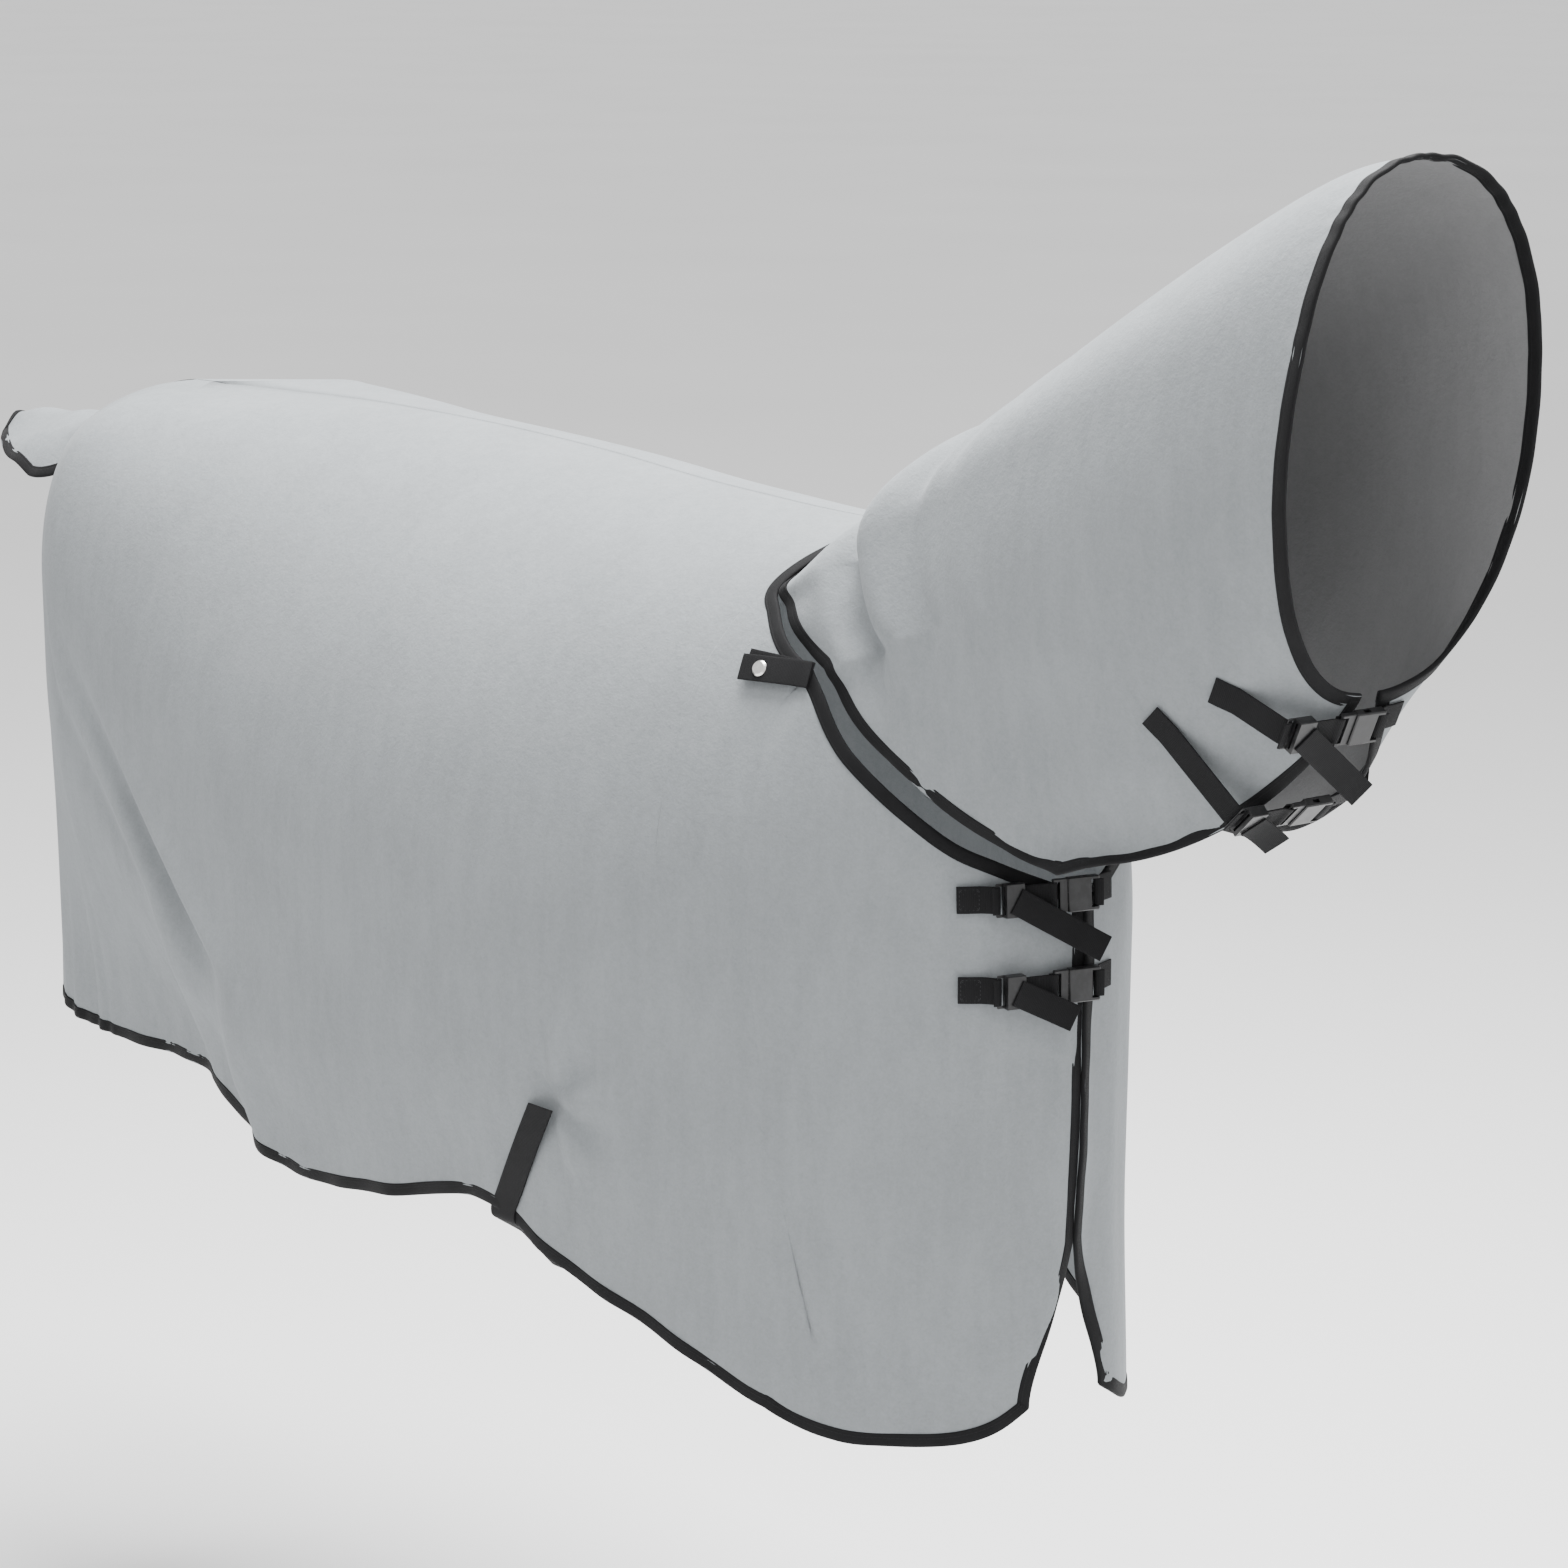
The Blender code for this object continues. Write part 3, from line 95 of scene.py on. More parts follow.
def spline(x: Points, points: Sequence[Sequence[float]]) -> Points:
    """Cubic Hermite curve through rows whose first number rises.

    Args:
        x: Where to read the curve.
        points: Rows of (x, value, value, ...).

    Returns:
        The interpolated values, with one more axis than x.
    """
    table = np.asarray(points, float)
    knots, values = table[:, 0], table[:, 1:]
    slope = np.diff(values, axis=0) / np.diff(knots)[:, None]
    tangent = np.vstack([slope[:1], 0.5 * (slope[:-1] + slope[1:]), slope[-1:]])
    x = np.clip(np.asarray(x, float), knots[0], knots[-1])
    i = np.clip(np.searchsorted(knots, x, side="right") - 1, 0, len(knots) - 2)
    h = (knots[i + 1] - knots[i])[..., None]
    t = (x - knots[i])[..., None] / h
    return ((2 * t**3 - 3 * t**2 + 1) * values[i] + (t**3 - 2 * t**2 + t) * h * tangent[i]
            + (3 * t**2 - 2 * t**3) * values[i + 1] + (t**3 - t**2) * h * tangent[i + 1])


def unit(vectors: Points) -> Points:
    """Vectors scaled to length one."""
    length = np.linalg.norm(vectors, axis=-1, keepdims=True)
    return vectors / np.maximum(length, 1e-12)


def run_length(points: Points) -> Points:
    """Distance along a line of points, starting at 0."""
    gaps = np.linalg.norm(np.diff(points, axis=0), axis=1)
    return np.concatenate([[0.0], np.cumsum(gaps)])


def resample(values: Points, run: Points, count: int) -> Points:
    """Rows of values read at even steps of their run."""
    at = np.linspace(run[0], run[-1], count)
    return np.stack([np.interp(at, run, column) for column in values.T], -1)


def wobble(run: Points, seed: float) -> Points:
    """Irregular wave of about unit height: a sum of four sines with unlike wavelengths."""
    waves = (0.61, 0.287, 0.149, 0.083)
    return sum(w**0.35 * np.sin(2.0 * math.pi * run / w + seed * (3.1 + 7.3 * k))
               for k, w in enumerate(waves))


# ------------------------------------------------------------------ meshes
def new_object(name: str, verts: Points, faces: Points, uv: Points | None = None) -> bpy.types.Object:
    """Make a smooth-shaded mesh object from arrays.

    Args:
        name: Object name.
        verts: (n, 3) positions.
        faces: (m, 4) corner numbers.
        uv: Optional (n, 2) map in metres, one pair for each vertex.

    Returns:
        The object, at the origin and linked to the scene.
    """
    mesh = bpy.data.meshes.new(name)
    mesh.vertices.add(len(verts))
    mesh.vertices.foreach_set("co", np.ascontiguousarray(verts, np.float32).ravel())
    mesh.loops.add(faces.size)
    mesh.loops.foreach_set("vertex_index", np.ascontiguousarray(faces, np.int32).ravel())
    mesh.polygons.add(len(faces))
    mesh.polygons.foreach_set("loop_start", np.arange(0, faces.size, 4, dtype=np.int32))
    mesh.polygons.foreach_set("loop_total", np.full(len(faces), 4, np.int32))
    mesh.polygons.foreach_set("use_smooth", np.ones(len(faces), bool))
    if uv is not None:
        layer = mesh.uv_layers.new(name="cloth_map")
        layer.data.foreach_set("uv", np.ascontiguousarray(uv[faces.ravel()], np.float32).ravel())
    mesh.update(calc_edges=True)
    mesh.validate()
    thing = bpy.data.objects.new(name, mesh)
    bpy.context.scene.collection.objects.link(thing)
    return thing


def grid_faces(rows: int, columns: int, closed: bool = False) -> Points:
    """Quads of a grid, numbered row by row; closed joins the last column to the first."""
    i = np.arange(rows - 1)[:, None]
    j = np.arange(columns if closed else columns - 1)[None, :]
    k = (j + 1) % columns
    quads = np.stack(np.broadcast_arrays(i * columns + j, i * columns + k,
                                         (i + 1) * columns + k, (i + 1) * columns + j), -1)
    return quads.reshape(-1, 4)


def sheet_object(name: str, grid: Points, outward: Points, thick: float, uv: Points,
                 bevel: bool = False) -> bpy.types.Object:
    """A cloth sheet: a grid of points with Solidify about its middle.

    Args:
        name: Object name.
        grid: (rows, columns, 3) middle surface.
        outward: One vector that the sheet's front faces, at the grid's centre.
        thick: Thickness of the cloth.
        uv: (rows, columns, 2) map in metres.
        bevel: Whether the cut edges are rounded.

    Returns:
        The object.
    """
    rows, columns = grid.shape[:2]
    faces = grid_faces(rows, columns)
    i, j = rows // 2, columns // 2
    normal = np.cross(grid[i, j + 1] - grid[i, j], grid[i + 1, j] - grid[i, j])
    if float(normal @ outward) < 0.0:
        faces = faces[:, ::-1]
    thing = new_object(name, grid.reshape(-1, 3), faces, uv.reshape(-1, 2))
    solid = thing.modifiers.new("thickness", "SOLIDIFY")
    solid.thickness = thick
    solid.offset = 0.0
    if bevel:
        edge = thing.modifiers.new("soft edge", "BEVEL")
        edge.width = thick * 0.25
        edge.segments = 2
        edge.limit_method = "ANGLE"
    return thing


def swept_profile(name: str, path: Points, inward: Points, normal: Points,
                  profile: Points) -> bpy.types.Object:
    """A closed profile carried along a path.

    A ring at each path point is path + t * inward + n * normal for the profile's rows
    (t, n). The ends are closed by drawing the last ring in to its middle.

    Args:
        name: Object name.
        path: (n, 3) points.
        inward: (n, 3) unit vectors for t.
        normal: (n, 3) unit vectors for n.
        profile: (m, 2) rows of t and n, in order round the section.

    Returns:
        The object, with a map of (run, way round the profile) in metres.
    """
    rings = (path[:, None] + profile[None, :, :1] * inward[:, None]
             + profile[None, :, 1:] * normal[:, None])
    run = run_length(path)
    round_run = run_length(np.vstack([profile, profile[:1]]))[:-1]
    uv = np.stack(np.broadcast_arrays(run[:, None], round_run[None, :]), -1)
    first = rings[:1].mean(axis=1, keepdims=True) + 0.0 * rings[:1]
    last = rings[-1:].mean(axis=1, keepdims=True) + 0.0 * rings[-1:]
    rings = np.concatenate([first, rings, last])
    uv = np.concatenate([uv[:1], uv, uv[-1:]])
    rows, columns = rings.shape[:2]
    faces = grid_faces(rows, columns, closed=True)
    a, b, c, d = (rings.reshape(-1, 3)[faces[:, k]] for k in range(4))
    middle = rings.reshape(-1, 3).mean(axis=0)
    volume = np.sum(np.cross(b - a, d - a) * ((a + b + c + d) / 4.0 - middle))
    if volume < 0.0:
        faces = faces[:, ::-1]
    thing = new_object(name, rings.reshape(-1, 3), faces, uv.reshape(-1, 2))
    weld = thing.modifiers.new("close ends", "WELD")
    weld.merge_threshold = 1e-6
    return thing


# ------------------------------------------------------------------ materials
class NodeSheet:
    """A material's node tree with short calls for the few nodes used here."""

    def __init__(self, name: str) -> None:
        """Start a material that holds one Principled shader."""
        self.material = bpy.data.materials.new(name)
        self.material.use_nodes = True
        self.tree = self.material.node_tree
        self.shader = self.tree.nodes["Principled BSDF"]

    def add(self, kind: str, **settings: object) -> bpy.types.Node:
        """Add a node and set its properties."""
        node = self.tree.nodes.new(kind)
        for key, value in settings.items():
            setattr(node, key, value)
        return node

    def link(self, source: bpy.types.NodeSocket, target: bpy.types.NodeSocket) -> None:
        """Join two sockets."""
        self.tree.links.new(source, target)

    def coordinates(self, own_map: bool,
                    scale: Sequence[float] = (1.0, 1.0, 1.0)) -> bpy.types.NodeSocket:
        """Object coordinates, or the piece's own map, scaled along each axis."""
        source = self.add("ShaderNodeTexCoord")
        mapping = self.add("ShaderNodeMapping")
        mapping.inputs["Scale"].default_value = scale
        self.link(source.outputs["UV" if own_map else "Object"], mapping.inputs["Vector"])
        return mapping.outputs["Vector"]

    def noise(self, vector: bpy.types.NodeSocket, scale: float, detail: float = 2.0,
              rough: float = 0.5) -> bpy.types.NodeSocket:
        """Noise of a given scale."""
        node = self.add("ShaderNodeTexNoise")
        node.inputs["Scale"].default_value = scale
        node.inputs["Detail"].default_value = detail
        node.inputs["Roughness"].default_value = rough
        self.link(vector, node.inputs["Vector"])
        return node.outputs["Fac"]

    def math(self, operation: str, first: object, second: object = 0.0,
             third: object = 0.0) -> bpy.types.NodeSocket:
        """A Math node whose inputs are sockets or numbers."""
        node = self.add("ShaderNodeMath", operation=operation)
        for socket, value in zip(node.inputs, (first, second, third)):
            if isinstance(value, (int, float)):
                socket.default_value = value
            else:
                self.link(value, socket)
        return node.outputs[0]

    def split(self, vector: bpy.types.NodeSocket) -> tuple[bpy.types.NodeSocket, bpy.types.NodeSocket]:
        """The x and y of a vector."""
        node = self.add("ShaderNodeSeparateXYZ")
        self.link(vector, node.inputs[0])
        return node.outputs[0], node.outputs[1]

    def ramp(self, factor: bpy.types.NodeSocket,
             stops: Sequence[tuple[float, Sequence[float]]]) -> bpy.types.NodeSocket:
        """A colour ramp with the given stops."""
        node = self.add("ShaderNodeValToRGB")
        while len(node.color_ramp.elements) < len(stops):
            node.color_ramp.elements.new(0.5)
        for element, (place, colour) in zip(node.color_ramp.elements, stops):
            element.position = place
            element.color = (*colour, 1.0)
        self.link(factor, node.inputs[0])
        return node.outputs[0]

    def bump(self, height: bpy.types.NodeSocket, distance: float, strength: float = 1.0,
             under: bpy.types.NodeSocket | None = None) -> bpy.types.NodeSocket:
        """A Bump node, stacked on another one if given."""
        node = self.add("ShaderNodeBump")
        node.inputs["Distance"].default_value = distance
        node.inputs["Strength"].default_value = strength
        self.link(height, node.inputs["Height"])
        if under is not None:
            self.link(under, node.inputs["Normal"])
        return node.outputs[0]

    def dress(self, colour: bpy.types.NodeSocket, roughness: object,
              normal: bpy.types.NodeSocket, **fixed: object) -> bpy.types.Material:
        """Feed the shader and set its fixed sockets.

        Args:
            colour: Base colour socket.
            roughness: Socket or number.
            normal: Normal socket.
            **fixed: Socket names with underscores, and their constant values.

        Returns:
            The finished material.
        """
        self.link(colour, self.shader.inputs["Base Color"])
        if isinstance(roughness, float):
            self.shader.inputs["Roughness"].default_value = roughness
        else:
            self.link(roughness, self.shader.inputs["Roughness"])
        self.link(normal, self.shader.inputs["Normal"])
        for key, value in fixed.items():
            self.shader.inputs[key.replace("_", " ")].default_value = value
        return self.material


@dataclass(frozen=True)
class FleeceFinish:
    """Brushed fleece: a short soft nap, slightly mottled, with a pale bloom at grazing angles."""

    name: str = "brushed_fleece"
    light: tuple[float, float, float] = (0.238, 0.254, 0.264)
    dark: tuple[float, float, float] = (0.178, 0.191, 0.199)
    sheen: float = 0.10
    nap_height: float = 0.0009

    def material(self) -> bpy.types.Material:
        """Build the material.

        Colour runs from dark to light with a wide mottle, a brushed streak that follows
        the cloth's length, and a fine speckle. Height is pile noise at three scales.

        Returns:
            The material.
        """
        sheet = NodeSheet(self.name)
        place = sheet.coordinates(False)
        brushed = sheet.coordinates(False, (1.0, 1.0, 0.22))
        mottle = sheet.noise(place, 7.0, 4.0, 0.60)
        streak = sheet.noise(brushed, 60.0, 3.0, 0.55)
        speckle = sheet.noise(place, 420.0, 2.0, 0.6)
        tufts = sheet.noise(place, 150.0, 2.0, 0.55)
        tone = sheet.math("MULTIPLY_ADD", mottle, 0.34, 0.05)
        tone = sheet.math("MULTIPLY_ADD", streak, 0.26, tone)
        tone = sheet.math("MULTIPLY_ADD", speckle, 0.30, tone)
        tone = sheet.math("MULTIPLY_ADD", tufts, 0.20, tone)
        colour = sheet.ramp(tone, ((0.36, self.dark), (0.70, self.light)))
        wide = sheet.bump(streak, self.nap_height * 1.2, 0.35)
        tuft = sheet.bump(tufts, self.nap_height, 0.55, wide)
        fine = sheet.bump(speckle, self.nap_height * 0.45, 0.75, tuft)
        return sheet.dress(colour, 0.95, fine, Sheen_Weight=self.sheen, Sheen_Roughness=0.55,
                           Sheen_Tint=(0.95, 0.97, 1.0, 1.0), Specular_IOR_Level=0.2)


@dataclass(frozen=True)
class WovenFinish:
    """Woven tape: ribs across it, a fine grain along it and a row of stitches."""

    name: str = "woven_tape"
    thread: tuple[float, float, float] = (0.0030, 0.0030, 0.0034)
    raised: tuple[float, float, float] = (0.0105, 0.0105, 0.0115)
    rib: float = 0.00095
    stitch_rows: tuple[float, ...] = ()
    stitch_pitch: float = 0.0042
    rib_height: float = 0.00022

    def material(self) -> bpy.types.Material:
        """Build the material from the piece's own map: run in x, way across in y.

        Rib height is the sine of the run; cross threads are the sine of the way across,
        half a step out on every other rib. A stitch is a dash on a row at a given distance
        across, pressed into the tape at its ends.

        Returns:
            The material.
        """
        sheet = NodeSheet(self.name)
        own = sheet.coordinates(True)
        run, across = sheet.split(own)
        turn = 2.0 * math.pi
        ribs = sheet.math("SINE", sheet.math("MULTIPLY", run, turn / self.rib))
        warp = sheet.math("SINE", sheet.math("MULTIPLY", across, turn / (self.rib * 0.8)))
        weave = sheet.math("MULTIPLY_ADD", sheet.math("MULTIPLY", ribs, warp), 0.35,
                           sheet.math("MULTIPLY_ADD", ribs, 0.30, 0.5))
        fuzz = sheet.noise(own, 900.0, 2.0, 0.6)
        wear = sheet.noise(own, 34.0, 3.0, 0.6)
        tone = sheet.math("MULTIPLY_ADD", weave, 0.5, sheet.math("MULTIPLY", wear, 0.45))
        tone = sheet.math("MULTIPLY_ADD", fuzz, 0.15, tone)
        height = sheet.math("MULTIPLY_ADD", fuzz, 0.4, weave)
        for row in self.stitch_rows:
            near = sheet.math("LESS_THAN", sheet.math("ABSOLUTE", sheet.math("SUBTRACT", across, row)),
                              0.00042)
            along = sheet.math("FRACT", sheet.math("DIVIDE", run, self.stitch_pitch))
            dash = sheet.math("MULTIPLY", near, sheet.math("LESS_THAN", along, 0.78))
            height = sheet.math("MULTIPLY_ADD", dash, 1.6, height)
            tone = sheet.math("MULTIPLY_ADD", dash, 0.45, tone)
        colour = sheet.ramp(tone, ((0.25, self.thread), (0.95, self.raised)))
        normal = sheet.bump(height, self.rib_height, 0.8)
        return sheet.dress(colour, 0.72, normal, Sheen_Weight=0.02, Sheen_Roughness=0.5,
                           Specular_IOR_Level=0.15)


@dataclass(frozen=True)
class PlasticFinish:
    """Moulded buckle plastic with a fine spark-eroded grain and rubbed highlights."""

    name: str = "moulded_plastic"
    deep: tuple[float, float, float] = (0.0080, 0.0080, 0.0085)
    rubbed: tuple[float, float, float] = (0.026, 0.026, 0.028)

    def material(self) -> bpy.types.Material:
        """Build the material: grain noise for height, wider noise for rubbed patches.

        Returns:
            The material.
        """
        sheet = NodeSheet(self.name)
        place = sheet.coordinates(False)
        grain = sheet.noise(place, 1500.0, 2.0, 0.5)
        patches = sheet.noise(place, 90.0, 3.0, 0.6)
        colour = sheet.ramp(patches, ((0.45, self.deep), (0.85, self.rubbed)))
        roughness = sheet.math("MULTIPLY_ADD", patches, 0.22, 0.30)
        normal = sheet.bump(grain, 0.00006, 0.6)
        return sheet.dress(colour, roughness, normal, Specular_IOR_Level=0.5)


@dataclass(frozen=True)
class StudFinish:
    """Nickel-plated snap metal with faint turning marks and dull patches."""

    name: str = "nickel_snap"
    bright: tuple[float, float, float] = (0.80, 0.79, 0.77)
    dull: tuple[float, float, float] = (0.55, 0.54, 0.52)

    def material(self) -> bpy.types.Material:
        """Build the material: noise between bright and dull, rougher where dull.

        Returns:
            The material.
        """
        sheet = NodeSheet(self.name)
        place = sheet.coordinates(False)
        tarnish = sheet.noise(place, 260.0, 3.0, 0.6)
        scratches = sheet.noise(sheet.coordinates(False, (1.0, 12.0, 1.0)), 700.0, 2.0, 0.5)
        colour = sheet.ramp(tarnish, ((0.35, self.bright), (0.80, self.dull)))
        roughness = sheet.math("MULTIPLY_ADD", tarnish, 0.25, 0.16)
        normal = sheet.bump(scratches, 0.00002, 0.5)
        return sheet.dress(colour, roughness, normal, Metallic=1.0)


@dataclass(frozen=True)
class FloorFinish:
    """Plain pale studio floor with a very slight unevenness."""

    name: str = "studio_floor"

    def material(self) -> bpy.types.Material:
        """Build the material: near-white with a faint broad noise.

        Returns:
            The material.
        """
        sheet = NodeSheet(self.name)
        place = sheet.coordinates(False)
        haze = sheet.noise(place, 0.8, 2.0, 0.5)
        colour = sheet.ramp(haze, ((0.2, (0.86, 0.86, 0.86)), (0.8, (0.90, 0.90, 0.90))))
        normal = sheet.bump(sheet.noise(place, 40.0), 0.0002, 0.2)
        return sheet.dress(colour, 0.85, normal)


@dataclass
class Wardrobe:
    """Every finish, built once and shared by the pieces."""

    fleece: bpy.types.Material = field(default_factory=lambda: FleeceFinish().material())
    # Darker copy of the fleece with less sheen: painted shade for the inside of the neck cover.
    painted_shade_lining: bpy.types.Material = field(default_factory=lambda: FleeceFinish(
        "neck_painted_shade_lining", (0.190, 0.191, 0.193), (0.155, 0.156, 0.158), 0.04).material())
    binding: bpy.types.Material = field(default_factory=lambda: WovenFinish(
        "edge_binding", stitch_rows=(0.0027, 0.0251)).material())
    webbing: bpy.types.Material = field(default_factory=lambda: WovenFinish(
        "strap_webbing", rib=0.0016, rib_height=0.00035).material())
    thread: bpy.types.Material = field(default_factory=lambda: WovenFinish(
        "sewing_thread", (0.016, 0.016, 0.017), (0.045, 0.045, 0.048), 0.0006).material())
    plastic: bpy.types.Material = field(default_factory=lambda: PlasticFinish().material())
    stud: bpy.types.Material = field(default_factory=lambda: StudFinish().material())


# ------------------------------------------------------------------ the horse's form
SECTIONS = (
    (0.0, 0.200, 0.000, -0.50, 0.186, -0.760),
    (15.0, 0.192, 0.000, -0.50, 0.184, -0.805),
    (30.0, 0.187, 0.000, -0.50, 0.182, -0.832),
    (48.0, 0.180, 0.000, -0.50, 0.180, -0.840),
    (70.0, 0.188, 0.000, -0.50, 0.192, -0.838),
    (90.0, 0.212, 0.000, -0.50, 0.214, -0.816),
    (98.0, 0.240, -0.010, -0.50, 0.240, -0.778),
    (104.0, 0.262, -0.010, -0.50, 0.258, -0.752),
    (113.0, 0.286, -0.006, -0.50, 0.272, -0.714),
    (120.0, 0.296, -0.002, -0.52, 0.270, -0.686),
    (134.0, 0.303, 0.010, -0.55, 0.284, -0.715),
    (150.0, 0.300, 0.018, -0.58, 0.270, -0.736),
    (161.0, 0.294, 0.020, -0.56, 0.252, -0.720),
    (170.0, 0.288, 0.020, -0.49, 0.212, -0.698),
    (190.0, 0.262, 0.014, -0.33, 0.198, -0.698),
    (212.0, 0.238, 0.012, -0.28, 0.208, -0.694),
    (230.0, 0.234, 0.012, -0.26, 0.228, -0.680),
    (280.0, 0.240, 0.012, -0.26, 0.232, -0.670),
)
NECKLINE = (
    (0.0, 0.450), (24.0, 0.422), (42.0, 0.398), (70.0, 0.338), (84.0, 0.288),
    (91.9, 0.252), (96.1, 0.200), (97.3, 0.162), (93.8, 0.070), (90.5, 0.0),
)
HEM_STATIONS = ((0.0, 0.0), (0.10, 45.0), (0.20, 88.0), (0.27, 100.0), (0.30, 107.0),
                (0.88, 190.0), (1.0, 262.0))
CREST = (
    (0.0, 0.048, 0.0, 0.000), (0.14, 0.130, 0.0, 0.068), (0.30, 0.240, 0.0, 0.158),
    (0.50, 0.365, 0.0, 0.246), (0.72, 0.490, 0.0, 0.316), (0.88, 0.578, 0.0, 0.354),
    (1.0, 0.638, 0.0, 0.366),
)
THROAT = (
    (0.0, 0.338, 0.120, -0.268), (0.30, 0.430, 0.088, -0.240), (0.55, 0.505, 0.062, -0.200),
    (0.75, 0.552, 0.040, -0.155), (0.90, 0.578, 0.020, -0.115), (1.0, 0.592, 0.010, -0.085),
)


@dataclass(frozen=True)
class HorseForm:
    """The draped outer form of the body sheet, as sections round a plan line."""

    shoulder_x: float = 0.05
    haunch_x: float = -1.10
    barrel_z: float = -0.38
    rump_z: float = -0.19
    rump_squareness: float = 0.4
    fan_step: float = 0.0034
    barrel_step: float = 0.0115
    neck_hole: tuple[float, float, float] = (0.13, 0.0, -0.14)

    def point(self, station: Points, girth: Points, side: int) -> Points:
        """Point of the form.

        From the spine to the widest height the section is a quarter ellipse in the girth
        share; below it the cloth falls straight and pulls in towards the hem. The plan
        line fans round the shoulder, runs along the barrel and fans round the haunch.

        Args:
            station: Way along the plan line.
            girth: 0 at the spine, 0.5 at the widest, 1 at the hem.
            side: -1 or 1.

        Returns:
            Positions, with one more axis than station.
        """
        station, girth = np.broadcast_arrays(np.asarray(station, float), np.asarray(girth, float))
        wide, top, pull_z, hem_wide, hem_z = np.moveaxis(spline(station, SECTIONS), -1, 0)
        along = np.clip((station - 90.0) / 100.0, 0.0, 1.0)
        centre_x = self.shoulder_x + (self.haunch_x - self.shoulder_x) * along
        turn = np.where(station < 90.0, station, np.where(station < 190.0, 90.0, station - 100.0))
        turn = np.radians(turn)
        upper = np.clip(girth * 2.0, 0.0, 1.0) * math.pi / 2.0
        lower = np.clip(girth * 2.0 - 1.0, 0.0, None)
        rump = ease((station - 150.0) / 50.0)
        widest_z = self.barrel_z + (self.rump_z - self.barrel_z) * rump
        round_out = 1.0 + (self.rump_squareness - 1.0) * rump
        z = np.where(girth < 0.5, widest_z + (top - widest_z) * np.cos(upper),
                     widest_z + (hem_z - widest_z) * lower)
        pull = ease((pull_z - z) / (pull_z - hem_z))
        reach = np.where(girth < 0.5, wide * np.sin(upper) ** round_out,
                         wide + (hem_wide - wide) * pull)
        return np.stack([centre_x + reach * np.cos(turn), side * reach * np.sin(turn), z], -1)

    def normal(self, station: Points, girth: Points, side: int) -> Points:
        """Outward unit normal, from short steps ahead and down."""
        girth = np.maximum(girth, 0.004)
        here = self.point(station, girth, side)
        ahead = self.point(station + 0.5, girth, side) - here
        down = self.point(station, girth + 0.004, side) - here
        return unit(np.cross(down, ahead) * side)

    def run_of(self, station: Points) -> Points:
        """Rough distance round the form at a station."""
        return (np.minimum(station, 90.0) * self.fan_step
                + np.maximum(station - 90.0, 0.0) * self.barrel_step)

    def station_of(self, run: Points) -> Points:
        """Station at a rough distance round the form."""
        turn = 90.0 * self.fan_step
        return np.where(run < turn, run / self.fan_step, 90.0 + (run - turn) / self.barrel_step)

    def neckline(self, share: Points) -> tuple[Points, Points]:
        """Station and girth of the neckline; share 0 is the chest, 1 the withers."""
        row = spline(np.clip(share, 0.0, 1.0) * (len(NECKLINE) - 1),
                     [(i, *pair) for i, pair in enumerate(NECKLINE)])
        return row[..., 0], row[..., 1]

    def neckline_offset(self, share: Points, distance: float) -> tuple[Points, Points]:
        """Station and girth at a distance behind the neckline, square to it.

        The step away from the neckline is written as steps of station and girth by
        solving the two-by-two system of the form's own step vectors.

        Args:
            share: Place along the neckline.
            distance: Distance behind it.

        Returns:
            Station and girth.
        """
        share = np.asarray(share, float)
        station, girth = self.neckline(share)
        here = self.point(station, girth, 1)
        ahead = (self.point(*self.neckline(share + 0.004), 1)
                 - self.point(*self.neckline(share - 0.004), 1))
        per_s = (self.point(station + 0.5, girth, 1) - here) / 0.5
        per_g = (self.point(station, girth + 0.004, 1) - here) / 0.004
        away = unit(np.cross(np.cross(per_s, per_g), ahead))
        away = away * np.sign(np.sum(away * (here - np.array(self.neck_hole)), -1, keepdims=True))
        square = ease(share / 0.12)[..., None]
        away = (away * square + unit(per_g) * (1.0 - square)) * distance
        ss, gg, sg = (np.sum(p * q, -1) for p, q in ((per_s, per_s), (per_g, per_g), (per_s, per_g)))
        sa, ga = np.sum(per_s * away, -1), np.sum(per_g * away, -1)
        scale = ss * gg - sg * sg
        step_s, step_g = (sa * gg - ga * sg) / scale, (ga * ss - sa * sg) / scale
        step = np.where(station < 90.0, self.fan_step, self.barrel_step)
        run = self.run_of(station) + step_s * step
        return self.station_of(run), np.maximum(girth + step_g, 0.0)


